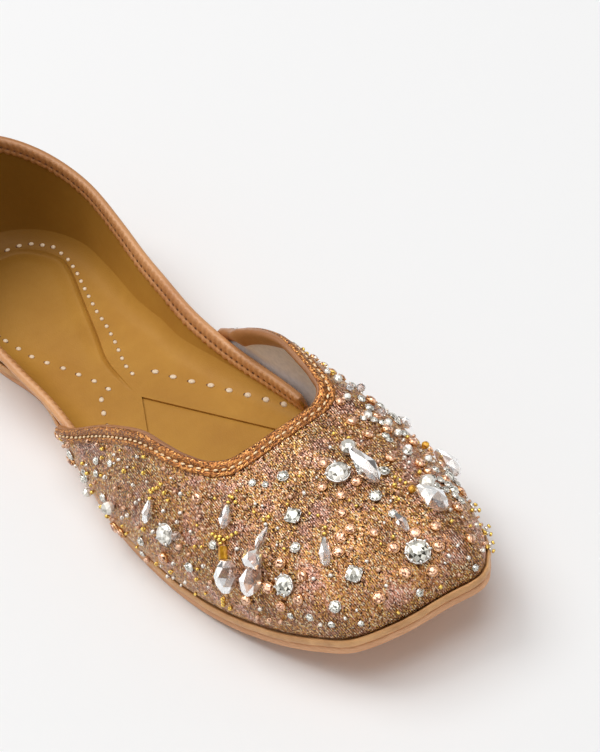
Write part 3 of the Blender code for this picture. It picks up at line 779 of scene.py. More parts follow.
def make_binding(name, wall, profile, material, wave=None):
    """A folded strip around a wall's edge from a profile of depths and offsets.

    Towards the strip's two ends its relief fades.
    """
    profile = np.array(profile)
    from_end = wall.edge_length * np.minimum(wall.edge_shares, 1.0 - wall.edge_shares)
    fade = 0.55 + 0.45 * ease(from_end / FADE_LENGTH)
    travelled = wall.edge_length * wall.edge_shares
    depths = np.tile(profile[:, 0], (len(wall.grid), 1))
    middle = profile[:, 1].min() / 2.0
    offsets = middle + (profile[:, 1] - middle) * fade[:, None]
    if wave:
        depths, offsets = wave(depths, offsets, travelled)
    across = np.concatenate(([0.0], np.cumsum(np.hypot(*np.diff(profile, axis=0).T))))
    uv = np.stack(np.meshgrid(travelled, across, indexing="ij"), -1).reshape(-1, 2)
    return make_piece(name, wall.rows(depths, offsets).reshape(-1, 3),
                      tube_faces(len(depths), len(profile)), material, uv)


# Depth below the edge and offset from the outer face, from the strip's outer lower edge over
# the fold to its inner lower edge
VAMP_TAPE = (
    (0.0048, -0.0002), (0.0050, 0.0003), (0.0048, 0.00062), (0.0041, 0.00072), (0.0035, 0.00056),
    (0.0032, 0.00010), (0.0026, 0.00010), (0.0023, 0.00058), (0.0018, 0.00084), (0.0010, 0.00092),
    (0.0004, 0.00078), (-0.0001, 0.00035), (-0.0001, -0.0003),
)
VAMP_FOLD = (
    (0.0, 0.00025), (-0.00045, -0.0002), (-0.00055, -0.0009), (-0.00035, -0.0016),
    (0.0003, -0.0021), (0.0012, -0.00226), (0.0024, -0.00228), (0.0038, -0.00222),
    (0.0049, -0.00212), (0.0052, -0.0019), (0.0052, -0.0015), (0.0004, -0.0013), (0.0004, -0.0002),
)
make_binding("vamp_binding", vamp, VAMP_TAPE, tape)
# The fold in the leather copy that is painted darker as painted shade
make_binding("vamp_fold", vamp, VAMP_FOLD, fold_skin)


# The quarter: copper leather outside, tan lining inside, and its binding

QUARTER_HALF_RIBS = 110
EVEN_RIBS = 700
steps = np.linspace(0.0, 1.0, QUARTER_HALF_RIBS + 1)
inner_half, outer_half = (quarter_side(side, steps, SAMPLES) for side in (1, -1))
quarter = Wall(np.concatenate([inner_half[::-1], outer_half[1:]]))
quarter_outer = make_slab("quarter_skin", quarter, QUARTER_TOP, 26, 0.0, -0.0009, quarter_skin)
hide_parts("quarter")
make_slab("quarter_lining", quarter, QUARTER_TOP, 30, -0.00095, -QUARTER_WALL, lining_skin)

HOLE_PITCH = 0.0024
PINK_PITCH = 0.0032
PINK_DEPTH = 0.0007
PUCKER = 0.00020
INNER_SIDE = -0.0017
LOWER_EDGE = 0.0050
QUARTER_TAPE = (
    (0.0036, -0.0002), (0.0036, 0.0002), (0.0033, 0.00045), (0.0022, 0.00055), (0.0008, 0.00050),
    (0.0001, 0.0002), (-0.0003, -0.0004), (-0.00038, -0.0011), (-0.0002, -0.0018),
    (0.0003, -0.00218), (0.0012, -0.00232), (0.0022, -0.0024), (0.0028, -0.00232),
    (0.0032, -0.00208), (0.0036, -0.00208), (0.004, -0.00232), (0.0047, -0.00242),
    (0.0054, -0.00234), (0.0058, -0.0021), (0.0058, -0.0016),
)


def pinked(depths, offsets, travelled):
    """The inner lower edge cut in a zigzag, and puckers between the stitch holes."""
    zigzag = np.abs(2.0 * (travelled / PINK_PITCH % 1.0) - 1.0) - 0.5
    inner = offsets < INNER_SIDE
    low = depths > LOWER_EDGE
    depths = depths + PINK_DEPTH * zigzag[:, None] * (inner & low)
    pucker = np.cos(2.0 * math.pi * travelled / HOLE_PITCH)[:, None]
    return depths, offsets + PUCKER * pucker * inner


def resampled(wall, count):
    """The same wall with its ribs evenly spaced along the edge."""
    ribs = np.interp(np.linspace(0.0, 1.0, count), wall.edge_shares, np.arange(len(wall.grid)))
    low = np.minimum(ribs.astype(int), len(wall.grid) - 2)
    part = (ribs - low)[:, None, None]
    return Wall(wall.grid[low] * (1.0 - part) + wall.grid[low + 1] * part)


quarter_even = resampled(quarter, EVEN_RIBS)
make_binding("quarter_binding", quarter_even, QUARTER_TAPE, quarter_skin, pinked)


# The sole: the leather outsole and the wrapped band above it

SOLE_STEPS = 230


def rings_piece(name, level, thickness, profile, material, wobble=0.0):
    """A layer of the sole from pairs of inset and height, its edge a little wavy."""
    base = inset_loop(no_inset, SOLE_STEPS)
    out = outward(base)
    count = len(base)
    turn = np.linspace(0.0, 2.0 * math.pi, count, endpoint=False)
    waves = np.sin(23.0 * turn) + 0.6 * np.sin(41.0 * turn + 1.0) + 0.5 * np.sin(67.0 * turn)
    ripple = wobble * waves
    rings = []
    for inwards, height in profile:
        loop = base - out * (inwards + ripple * (0.0 < height < 1.0))[:, None]
        lift = spring(loop[:, 0]) + level + thickness * height
        rings.append(np.column_stack([loop, lift + ripple * 0.5 * (0.2 < height < 1.0)]))
    faces = tube_faces(len(rings), count, closed_ends=False)
    for start, flip in ((0, True), ((len(rings) - 1) * count, False)):
        for step in range(count // 2):
            strip = (start + step, start + step + 1, start + (count - step - 1) % count,
                     start + (count - step) % count)
            strip = tuple(dict.fromkeys(strip))
            faces.append(strip[::-1] if flip else strip)
    return make_piece(name, np.concatenate(rings), faces, material)


def no_inset(x):
    """The sole's own edge."""
    return np.zeros(np.shape(x))


OUTSOLE_EDGE = ((0.0006, 0.0), (0.0001, 0.12), (0.0, 0.5), (0.0001, 0.85), (0.0004, 1.0))
BAND_EDGE = ((0.0006, 0.0), (0.0, 0.06), (-0.0003, 0.22), (-0.0004, 0.5), (-0.0003, 0.82),
             (0.0, 0.97), (0.0003, 1.0), (0.0005, 0.95), (0.0006, 0.72), (0.0011, 0.68))
outsole = rings_piece("outsole_leather", 0.0, OUTSOLE_THICKNESS, OUTSOLE_EDGE, sole_skin)
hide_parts("outsole")
band = rings_piece("midsole_band", MIDSOLE_LEVEL - 0.0002, MIDSOLE_THICKNESS + 0.0003, BAND_EDGE,
                   band_skin, wobble=0.00007)
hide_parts("midsole")

# The sock on the insole with its V towards the toe, and the cushion under the heel

FILLET_HEIGHT = 0.0048
FILLET_REACH = 0.0078
WELT_END = -0.0060
HEEL_END = 0.030
SLOPE_STEP = 0.0004
FRONT_START = 0.1475
WALL_END = 0.1465
NOTCH_MARGIN = 0.0004
SHEET_SPACING = 0.0014
ROW_SHARE = 0.866
BORDER_MARGIN = 0.0002
CUSHION_FRONT = 0.104
BOARD_STEPS = 300
LINE_POINTS = 420
TOP_LEVEL = SOCK_LEVEL + SOCK_THICKNESS


def distance_to(points, line):
    """Distance of each point to a line of many short steps."""
    return np.array([np.hypot(*(line - point).T).min() for point in points])


def inside(points, border):
    """Which points are inside a closed border."""
    found = np.zeros(len(points), bool)
    for first, last in zip(border, np.roll(border, -1, axis=0)):
        if first[1] == last[1]:
            continue
        crosses = (first[1] > points[:, 1]) != (last[1] > points[:, 1])
        meet = (last[0] - first[0]) * (points[:, 1] - first[1]) / (last[1] - first[1]) + first[0]
        found ^= crosses & (points[:, 0] < meet)
    return found


def kept_in(points, border, margin):
    """The points that are inside a border and further from it than a margin."""
    points = points[inside(points, border)]
    return points[distance_to(points, border) > margin]


def relief_sheet(name, border, top, thickness, material, spacing=SHEET_SPACING, rows=None):
    """A closed sheet over the area in a border, its upper side at the heights that top gives."""
    low, high = border.min(axis=0), border.max(axis=0)
    x, y = np.meshgrid(np.arange(low[0], high[0], spacing),
                       np.arange(low[1], high[1], ROW_SHARE * spacing))
    x[1::2] += spacing / 2.0
    grid = kept_in(np.column_stack([x.ravel(), y.ravel()]), border, 0.5 * spacing)
    if rows is not None:
        rows = kept_in(rows, border, BORDER_MARGIN)
        grid = np.concatenate([rows, grid[distance_to(grid, rows) > 0.6 * spacing]])
    points = [Vector(point) for point in np.concatenate([border, grid])]
    edges = [(step, (step + 1) % len(border)) for step in range(len(border))]
    found = delaunay_2d_cdt(points, edges, [], 1, 1e-7)
    flat = np.array([point[:] for point in found[0]])
    height = top(flat)
    vertices = np.concatenate([np.column_stack([flat, z]) for z in (height, height - thickness)])
    count = len(flat)
    triangles = [tuple(face) for face in found[2]]
    used = {(face[step], face[(step + 1) % 3]) for face in triangles for step in range(3)}
    faces = triangles + [tuple(count + point for point in face[::-1]) for face in triangles]
    faces += [(second, first, first + count, second + count) for first, second in sorted(used)
              if (second, first) not in used]
    return make_piece(name, vertices, faces, material, crease=50.0)


def insole_inset(x):
    """How far the insole's edge stands back from the sole's."""
    return quarter_inset(x) + QUARTER_WALL + 3.0 * GAP


def notch(x):
    """Half the width of the V in the sock."""
    return np.clip(x - NOTCH_START, 0.0, None) * NOTCH_HALF / NOTCH_REACH


def fillet_size(x):
    """The sweep of the sock against the walls, 1 at the heel and less towards the toe."""
    return 1.0 - 0.5 * ease((x - 0.105) / 0.045)


height_up = TOP_LEVEL - UPPER_LEVEL + FILLET_HEIGHT * fillet_size(quarter.grid[:, :1, 0])
WALL_LINE = quarter.rows(quarter.length[:, None] - height_up,
                         np.full((len(quarter.grid), 1), 0.0003 - QUARTER_WALL))
WALL_LINE = at_shares(WALL_LINE[:, 0, :2], np.linspace(0.0, 1.0, LINE_POINTS))
run = unit(np.gradient(WALL_LINE, axis=0))
inwards = np.column_stack([-run[:, 1], run[:, 0]])
FILLET_ROWS = (0.0004, 0.0009, 0.0015, 0.0022, 0.0030, 0.0040, 0.0052, 0.0066)
fillet_rows = np.concatenate([WALL_LINE + inwards * row for row in FILLET_ROWS])

# The cushion's edge on the inner side of the foot, then around the heel and back on the outer side
CUSHION = np.array((
    (0.1003, 0.0000), (0.0900, 0.0003), (0.0785, 0.0015), (0.0663, 0.0056), (0.0538, 0.0097),
    (0.0436, 0.0131), (0.0358, 0.0157), (0.0255, 0.0174), (0.0184, 0.0150), (0.0109, 0.0095),
    (0.0080, 0.0000), (0.0109, -0.0095), (0.0184, -0.0146), (0.0300, -0.0172), (0.0450, -0.0168),
    (0.0600, -0.0128), (0.0750, -0.0078), (0.0880, -0.0036), (0.1003, 0.0000),
))
cushion_line = curve(path_shares(CUSHION), CUSHION, FINE_STEPS)
cushion_line = at_shares(cushion_line, np.linspace(0.0, 1.0, LINE_POINTS))[:-1]
# Its raised welt on the inner side and around the heel, and the rest, which lies flush
x, y = cushion_line.T
WELT = cushion_line[y > WELT_END * (x < HEEL_END)]
FLUSH = cushion_line[(y < WELT_END) | ((y < 0.0) & (x > HEEL_END))]


def sock_top(points):
    """Height of the sock: flat between the walls and swept up against them."""
    x = points[:, 0]
    size = fillet_size(x)
    near = np.clip(1.0 - distance_to(points, WALL_LINE) / (FILLET_REACH * size), 0.0, 1.0)
    return spring(x) + TOP_LEVEL + FILLET_HEIGHT * size * near ** 2.4


def cushion_top(points):
    """Height of the cushion: a raised welt on its inner side, flush on its outer one."""
    welt = distance_to(points, WELT)
    flush = distance_to(points, FLUSH)
    slim = ease((CUSHION_FRONT - points[:, 0]) / HEEL_END)
    ridge = (0.0004 + 0.00075 * slim) * np.exp(-((welt - 0.0009) / 0.00050) ** 2)
    ridge *= ease(flush / 0.0050 + 0.15)
    swell = 0.0006 * slim * ease((welt - 0.0018) / 0.0050) * ease(flush / 0.0140)
    sunk = 0.00025 * (1.0 - ease(welt / 0.0005)) + 0.00010 * (1.0 - ease(flush / 0.0050))
    return sock_top(points) + ridge + swell - sunk + 0.00006


WELT_ROWS = (0.0003, 0.0006, 0.0009, 0.0012, 0.0016, 0.0021, 0.0028)
cushion_rows = np.concatenate([cushion_line - outward(cushion_line) * row for row in WELT_ROWS])

board = inset_loop(insole_inset, BOARD_STEPS)
x, y = board.T
front = board[(x > FRONT_START) & (np.abs(y) > notch(x) + NOTCH_MARGIN)]
back = WALL_LINE[WALL_LINE[:, 0] < WALL_END]
outer_front = front[front[:, 1] < 0.0]
outer_front = outer_front[np.argsort(outer_front[:, 0])]
inner_front = front[front[:, 1] > 0.0]
inner_front = inner_front[np.argsort(-inner_front[:, 0])]
tip = np.array([NOTCH_START, 0.0])
steps = np.arange(0.0, 1.0, 0.04)[1:, None]
sock_border = np.concatenate([
    [tip], steps * inner_front[0] + (1.0 - steps) * tip, inner_front, back, outer_front,
    steps * tip + (1.0 - steps) * outer_front[-1]])
sock = relief_sheet("sock_leather", sock_border, sock_top, 0.5 * SOCK_THICKNESS, sock_skin,
                    rows=fillet_rows)
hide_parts("sock")
cushion = relief_sheet("heel_cushion", cushion_line, cushion_top, 0.0006, sock_skin,
                       0.0011, cushion_rows)
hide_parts("heel_pad")


def insole_top(points):
    """Height of the insole: risen in the sock's V nearly to the sock."""
    x = points[:, 0]
    beside = np.abs(points[:, 1]) - notch(x) - 0.0008 + 0.004 * (x < NOTCH_START - 0.001)
    return spring(x) + SOCK_LEVEL - GAP + 0.0008 * (1.0 - ease(beside / 0.0014))


insole = relief_sheet("insole_leather", board, insole_top, 0.0015, sock_skin,
                      0.0016)
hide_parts("insole")


# Small parts gathered in joined meshes

chance = np.random.default_rng(7)


class Heap:
    """Many small closed solids gathered in one mesh."""

    def __init__(self):
        self.vertices, self.faces, self.glint_shares = [], [], []
        self.count = 0

    def add(self, shape, origin, axes, size):
        """Put a shape at an origin, its x, y and z along the axes and scaled by size."""
        points, faces = shape
        placed = (np.asarray(points) * size) @ np.asarray(axes) + origin
        self.vertices.append(placed)
        self.faces += [tuple(self.count + point for point in face) for face in faces]
        self.glint_shares += list(chance.random(len(faces)))
        self.count += len(placed)

    def make(self, name, material, slot, smooth=True):
        """The gathered solids as one piece."""
        make_piece(name, np.concatenate(self.vertices), self.faces, material,
                   glint_shares=self.glint_shares, smooth=smooth)


def circle(sides, shift=0.0):
    """Evenly spaced angles."""
    return 2.0 * math.pi * (np.arange(sides) + shift) / sides


def ring_points(angles, radius, height):
    """The points of one ring of a solid."""
    return np.column_stack([radius * np.cos(angles), radius * np.sin(angles),
                            np.full(len(angles), height)])


def end_faces(sides, rings):
    """The faces over the first and the last ring."""
    return [tuple(range(sides)), tuple(range(rings * sides - 1, (rings - 1) * sides - 1, -1))]


def gem(sides, rings):
    """A faceted solid of rings (radius, height), each turned half a side from the one above."""
    points = [ring_points(circle(sides, 0.5 * (ring % 2)), *size)
              for ring, size in enumerate(rings)]
    faces = []
    for ring in range(len(rings) - 1):
        upper, lower = ring * sides, (ring + 1) * sides
        for step in range(sides):
            after = (step + 1) % sides
            if ring % 2 == 0:
                faces.append((upper + step, lower + step, upper + after))
                faces.append((upper + after, lower + step, lower + after))
            else:
                faces.append((upper + step, lower + step, lower + after))
                faces.append((upper + step, lower + after, upper + after))
    return np.concatenate(points), faces + end_faces(sides, len(rings))


def turned(angles, rings, hollow=False):
    """A solid of unturned rings (radius, height); a hollow one joins its last ring to the first."""
    sides = len(angles)
    faces = []
    for ring in range(len(rings) if hollow else len(rings) - 1):
        upper, lower = ring * sides, (ring + 1) % len(rings) * sides
        for step in range(sides):
            after = (step + 1) % sides
            faces.append((upper + step, lower + step, lower + after, upper + after))
    faces += [] if hollow else end_faces(sides, len(rings))
    return np.concatenate([ring_points(angles, *size) for size in rings]), faces


SQUARE = np.radians([33, 57, 123, 147, 213, 237, 303, 327])
BRILLIANT = gem(9, ((0.22, 0.58), (0.50, 0.52), (0.78, 0.38), (1.00, 0.08), (0.75, -0.30)))
SMALL_CUT = gem(7, ((0.28, 0.60), (0.62, 0.48), (0.90, 0.26), (1.00, 0.00), (0.70, -0.30)))
SQUARE_CUT = gem(8, ((0.35, 0.56), (0.80, 0.44), (1.16, 0.10), (0.90, -0.35)))
CUP = turned(circle(18), ((1.02, 0.06), (1.09, -0.04), (1.05, -0.45), (0.94, -0.50), (0.92, 0.00)),
             hollow=True)
SQUARE_CUP = turned(SQUARE, ((1.22, 0.04), (1.32, -0.02), (1.26, -0.50), (1.05, -0.52),
                             (1.02, 0.0)), hollow=True)
ROUND_BEAD = gem(8, ((0.38, 0.92), (0.80, 0.58), (1.00, 0.0), (0.80, -0.58), (0.38, -0.92)))
GRAIN = gem(6, ((0.45, 0.85), (0.95, 0.25), (0.95, -0.25), (0.45, -0.85)))
SEED = turned(circle(8), ((0.38, 0.52), (0.78, 0.62), (1.00, 0.30), (1.00, -0.30), (0.78, -0.62),
                          (0.38, -0.52)), hollow=True)
DROP = gem(7, ((0.34, 0.00), (0.66, 0.24), (1.00, 0.60), (0.66, 0.88), (0.22, 1.00)))
BARREL = gem(8, ((0.42, 0.00), (0.80, 0.18), (1.00, 0.48), (0.84, 0.76), (0.32, 1.00)))
MARQUISE = gem(7, ((0.34, 0.00), (1.00, 0.40), (0.92, 0.62), (0.34, 1.00)))
BUGLE = turned(circle(8), ((0.55, 0.0), (0.95, 0.06), (1.00, 0.5), (0.95, 0.94), (0.55, 1.0)))
STITCH = gem(8, ((0.35, 0.93), (0.80, 0.62), (1.00, 0.25), (1.00, -0.25), (0.80, -0.62),
                 (0.35, -0.93)))


# Beadwork, placed through the camera by the picture's points

cloth_count = len(vamp.grid) * VAMP_ROWS
cloth_faces = [face for face in sheet_faces(len(vamp.grid), VAMP_ROWS) if max(face) < cloth_count]
cloth_tree = BVHTree.FromPolygons([vertex.co for vertex in vamp_cloth.data.vertices[:cloth_count]],
                                  cloth_faces)


def camera_frame():
    """The camera's place and its right, up and back directions."""
    azimuth, elevation, roll = np.radians((VIEW_AZIMUTH, VIEW_ELEVATION, VIEW_ROLL))
    level = math.cos(elevation)
    back = np.array([math.sin(azimuth) * level, -math.cos(azimuth) * level, math.sin(elevation)])
    right = np.array([math.cos(azimuth), math.sin(azimuth), 0.0])
    up = np.cross(back, right)
    return (VIEW_TARGET + back * VIEW_DISTANCE, right * math.cos(roll) + up * math.sin(roll),
            up * math.cos(roll) - right * math.sin(roll), back)


EYE, RIGHT, UP, BACK = camera_frame()
SEARCH = 0.12


def pin(u, v):
    """The cloth's point and outward normal under a point of the picture, or the nearest to it."""
    ray = unit(RIGHT * (u - IMAGE_WIDTH / 2.0) - UP * (v - IMAGE_HEIGHT / 2.0) - BACK * VIEW_FOCAL)
    point, normal, _, _ = cloth_tree.ray_cast(Vector(EYE), Vector(ray))
    if point is None:
        reaches = np.linspace(VIEW_DISTANCE - SEARCH, VIEW_DISTANCE + SEARCH, 121)
        found = [cloth_tree.find_nearest(Vector(EYE + ray * reach)) for reach in reaches]
        point, normal, _, _ = min(found, key=lambda each: each[3])
    point, normal = np.array(point), np.array(normal)
    if normal @ (point - (point[0], TO_MODEL[1], 0.0)) < 0.0:
        normal = -normal
    return point - TO_MODEL, normal


def seen_at(point):
    """A point's place in the picture."""
    away = point + TO_MODEL - EYE
    depth = -(away @ BACK)
    return (IMAGE_WIDTH / 2.0 + VIEW_FOCAL * (away @ RIGHT) / depth,
            IMAGE_HEIGHT / 2.0 - VIEW_FOCAL * (away @ UP) / depth)


def pin_below(u, v, lift):
    """The cloth's point and normal whose point lifted off the cloth is seen at (u, v)."""
    at_u, at_v = u, v
    point, normal = pin(u, v)
    for _ in range(3):
        now_u, now_v = seen_at(point + normal * lift)
        at_u += 0.8 * (u - now_u)
        at_v += 0.8 * (v - now_v)
        nearer, leaning = pin(at_u, at_v)
        if np.linalg.norm(nearer - point) > 3.0 * lift:
            break
        point, normal = nearer, leaning
    return point, normal


def axes_on(normal, along):
    """Axes with z along the normal and x near a direction."""
    first = unit(along - normal * (along @ normal))
    return np.array([first, np.cross(normal, first), normal])


heaps = {name: Heap() for name in (
    "clear", "rose", "oval", "drop", "peach_drop", "amber", "gold_cup", "silver_cup", "gold",
    "silver", "peach")}
taken = []
CLAW = np.array([0.24, 0.15, 0.17])
PRONG = np.array([0.2, 0.2, 0.24])
SEED_SIZE = 4.4


def tilt(normal, amount):
    """A normal leant a little at random."""
    return unit(normal + chance.normal(0.0, amount, 3))


def claw_set(point, normal, radius, kind, cup, claws, shape=BRILLIANT):
    """A cut stone standing in a metal cup with claws bent over its edge."""
    axes = axes_on(tilt(normal, 0.06), tilt(RIGHT, 0.6))
    base = point + axes[2] * 0.42 * radius
    heaps[kind].add(shape, base, axes, radius)
    heaps[cup].add(CUP, base, axes, radius)
    for angle in circle(claws, 0.25):
        out = axes[0] * math.cos(angle) + axes[1] * math.sin(angle)
        heaps[cup].add(GRAIN, base + radius * out * 0.98 + axes[2] * 0.14 * radius,
                       axes_on(axes[2], -out), radius * CLAW)
    taken.append((point, radius * 1.2))


def square_set(point, normal, radius):
    """A square stone in a square cup with a prong at each corner."""
    axes = axes_on(tilt(normal, 0.05), RIGHT * 0.9 - UP * 0.35)
    base = point + axes[2] * 0.5 * radius
    heaps["clear"].add(SQUARE_CUT, base, axes, radius * 0.86)
    heaps["silver_cup"].add(SQUARE_CUP, base, axes, radius * 0.86)
    for angle in circle(4, 0.5):
        out = axes[0] * math.cos(angle) + axes[1] * math.sin(angle)
        heaps["silver_cup"].add(GRAIN, base + out * radius + axes[2] * 0.16 * radius, axes,
                                radius * PRONG)
    taken.append((point, radius * 1.3))


def bead(point, normal, radius, kind, shape, axes, lift):
    """A bead of its radius standing on the cloth."""
    heaps[kind].add(shape, point + normal * radius * lift, axes, radius)
    taken.append((point, radius))


def seed(point, normal, radius, kind, along=None):
    """A tiny bead with its hole along the thread."""
    axes = axes_on(normal, tilt(RIGHT, 1.0) if along is None else along)
    bead(point, normal, radius, kind, SEED, axes[[1, 2, 0]], 0.8)


def string(start, end, size, kind):
    """A row of tiny beads between two points of the picture."""
    first, second = pin(*start), pin(*end)
    along = second[0] - first[0]
    count = max(int(np.linalg.norm(along) / (size * PIXEL)), 1)
    for part in (np.arange(count) + 0.5) / count:
        normal = unit(first[1] * (1.0 - part) + second[1] * part)
        seed(first[0] * (1.0 - part) + second[0] * part, normal, size * PIXEL / 2.0, kind, along)


def lying(start, end, width, kind, shape=DROP, raised=0.0):
    """A long bead lying on the cloth from one point of the picture to another."""
    radius = width * PIXEL / 2.0
    lift = radius * (0.85 + raised)
    first, second = pin_below(*start, lift * 0.8), pin_below(*end, lift)
    head = first[0] + first[1] * lift * 0.8
    along = second[0] + second[1] * lift - head
    axes = axes_on(unit(along), unit(first[1] + second[1]))
    heaps[kind].add(shape, head, axes, np.array([radius, radius, np.linalg.norm(along)]))
    for part in (0.2, 0.5, 0.8):
        taken.append((first[0] * (1.0 - part) + second[0] * part, radius))


def stone(u, v, radius, kind, cup, claws, shape=BRILLIANT):
    """A claw set stone seen at a point of the picture."""
    claw_set(*pin_below(u, v, radius * 0.6), radius, kind, cup, claws, shape)


# Stones by their point in the picture: clear ones with their size in pixels, then rosy ones
ROUND = (
    (418, 550.5, 26), (283, 585, 22), (375.4, 495, 13), (294.7, 547, 11), (282.7, 475, 12),
    (407.7, 451, 11), (334.5, 607, 12), (212, 545, 9), (188, 567.6, 11), (140, 542, 10),
    (420, 593, 8), (476, 568, 7), (309, 618, 8), (290, 616, 7), (331, 625, 7), (361, 624, 6),
    (384, 470, 12), (95, 461, 9), (109, 463.5, 8), (85, 472, 8), (95, 473.5, 8), (72, 454, 12),
    (102, 498, 10), (87, 478, 9), (143, 553, 8), (252, 482, 8), (265, 484, 7), (448, 478, 13),
    (455, 489, 11), (462, 500, 9), (443, 463, 10), (370, 407, 10), (362, 398, 9), (352, 386, 9),
    (398, 421, 9), (405, 433, 10), (392, 416, 8), (364, 417, 8), (374, 419, 9), (383, 422, 9),
    (388, 428, 8), (386, 435, 9), (390, 439, 8), (436, 469, 9), (445, 471, 8), (453, 475, 9),
    (441, 479, 9), (449, 484, 10), (457, 486, 8), (446, 489, 9), (437, 485, 9), (433, 477, 9),
    (456, 495, 9), (462, 492, 8), (393, 513, 9),
)
ROSE = (
    (323.5, 462), (356.5, 480), (322, 486), (341, 494), (369, 433), (391, 456.5), (342, 512),
    (374, 531.5), (394, 547), (338, 551), (405.6, 572), (433, 571), (438.6, 546), (415, 533),
    (436, 525), (459, 505.6), (301, 575.7), (162, 559), (122, 533), (196, 498), (279, 563),
    (280, 607), (267, 588), (297, 600), (379, 598), (388, 428), (378, 415), (367, 414),
    (447, 478), (460, 492), (472, 538), (352, 420), (341, 400), (372, 399), (414, 441),
    (430, 470), (421, 462), (245, 601), (340, 536), (350, 528),
)
for u, v, size in ROUND:
    stone(u, v, size * PIXEL * 0.43, "clear", "silver_cup", 8 if size > 20 else 5,
          BRILLIANT if size > 10 else SMALL_CUT)
for u, v in ROSE:
    stone(u, v, chance.uniform(10.0, 13.0) * PIXEL * 0.44, "rose", "gold_cup", 4)
for u, v, size in ((292.6, 514.7, 18), (353.7, 573.6, 18)):
    square_set(*pin_below(u, v, size * PIXEL * 0.25), size * PIXEL * 0.42)
for u, v, size in ((337.5, 470.5, 24), (163.0, 535, 22)):
    stone(u, v, size * PIXEL * 0.46, "oval", "silver_cup", 4)

lying((226, 560), (226, 593), 23, "drop", BARREL)
lying((222.5, 546), (223.5, 560), 9, "amber", BUGLE)
lying((256, 561), (247, 596), 22, "peach_drop")
lying((247, 551), (258, 567), 21, "drop", MARQUISE, 0.4)
lying((267, 527), (256, 550), 9, "drop")
lying((227, 505), (223, 529), 12, "drop")
lying((150, 500), (145, 523), 11, "drop")
lying((324, 538), (326, 566), 13, "drop")
lying((396, 514), (408, 531), 11, "drop", MARQUISE)
lying((351, 449), (378, 481), 20, "drop", raised=0.3)
lying((418, 487), (447, 508), 22, "drop")
lying((432, 455), (453, 479), 18, "drop")
lying((404, 411), (414, 423), 11, "drop", MARQUISE)
BEADS = (
    ("oval", ((108, 508, 14), (88, 492, 10), (348, 447, 16), (427, 482.5, 16))),
    ("amber", ((412, 489, 8), (423, 448, 8))),
    ("peach_drop", ((176, 536, 10),)),
    ("peach", ((179, 547, 7), (147, 560, 7))),
    ("drop", ((360, 389, 9),)),
    ("silver", ((327, 372, 7),)),
    ("oval", ((338, 379, 9),)),
    ("drop", ((350, 387, 8),)),
    ("oval", ((347, 397, 8), (368, 415, 9))),
    ("drop", ((382, 413, 9),)),
    ("oval", ((388, 423, 9), (398, 433, 8), (408, 449, 9), (428, 459, 8))),
)
for kind, places in BEADS:
    for u, v, size in places:
        radius = size * PIXEL / 2.0
        point, normal = pin_below(u, v, radius * 0.9)
        bead(point, normal, radius, kind, ROUND_BEAD, axes_on(normal, RIGHT), 0.9)
STRINGS = (
    ("gold", ((220.7, 533, 222, 547), (231, 494, 228, 506), (153, 489, 150.5, 501),
              (326, 525, 324.5, 538))),
    ("silver", ((266, 521, 267, 529),)),
    ("gold", ((392, 477, 408, 486), (404, 437, 419, 446))),
    ("silver", ((447, 508, 452, 514),)),
    ("gold", ((486, 530, 490, 534), (489, 545, 492, 549), (471, 508, 475, 512),
              (224, 597, 224.5, 605))),
    ("silver", ((452, 480, 458, 486),)),
    ("gold", ((212, 533, 222, 541), (223, 541, 239, 532), (150, 491, 160, 487),
              (160, 487, 164, 481), (231, 496, 238, 505), (262, 522, 272, 516),
              (222, 561, 222, 557))),
)
for kind, lines in STRINGS:
    for line in lines:
        string(line[:2], line[2:], SEED_SIZE, kind)

# Sprigs of tiny beads that stand off the cloth, each with two stalks
for u, v in ((485, 531), (487, 547), (471, 512)):
    point, normal = pin(u, v)
    for lean in (-0.6, 0.5):
        stalk = unit(normal + lean * UP)
        aside = unit(np.cross(stalk, RIGHT))
        for number, kind in enumerate(("gold", "silver", "gold")):
            seed(point + stalk * (0.0004 + 0.0010 * number), aside, 0.00062, kind, stalk)

# Scattered tiny beads, and stones on the side that the picture doesn't show
SEED_COUNT = 230
HIDDEN_STONES = 100
MOST_TRIES = 6000
LEAST_SEEN = 0.05
STONE_RADII = (0.0012, 0.0022)
SEED_RADII = (0.00045, 0.0008)
BETWEEN = 0.0008
BARE_TOP = 0.16
BARE_FOOT = 0.08
areas = np.cross(np.gradient(vamp.grid, axis=0), np.gradient(vamp.grid, axis=1))
areas = np.linalg.norm(areas, axis=2)
areas[:, -int(SAMPLES * BARE_TOP):] = 0.0
areas[:, :int(SAMPLES * BARE_FOOT)] = 0.0
weights = (areas / areas.sum()).ravel()
hidden_made = seeds_made = tries = 0
while (seeds_made < SEED_COUNT or hidden_made < HIDDEN_STONES) and tries < MOST_TRIES:
    tries += 1
    rib, row = divmod(int(chance.choice(len(weights), p=weights)), SAMPLES)
    point, normal = vamp.grid[rib, row], vamp.normal[rib, row]
    hidden = normal @ BACK <= LEAST_SEEN
    is_stone = hidden and hidden_made < HIDDEN_STONES and tries % 2 == 0
    if not is_stone and seeds_made >= SEED_COUNT:
        continue
    radius = chance.uniform(*(STONE_RADII if is_stone else SEED_RADII))
    room = np.linalg.norm(np.array([spot for spot, _ in taken]) - point, axis=1)
    if (room < np.array([size for _, size in taken]) + radius + BETWEEN).any():
        continue
    if is_stone:
        kind, cup = ("clear", "silver_cup") if chance.random() < 0.35 else ("rose", "gold_cup")
        claw_set(point, normal, radius, kind, cup, 5, SMALL_CUT)
        hidden_made += 1
    else:
        seed(point, normal, radius, ("gold", "silver", "peach")[int(chance.integers(3))])
        seeds_made += 1

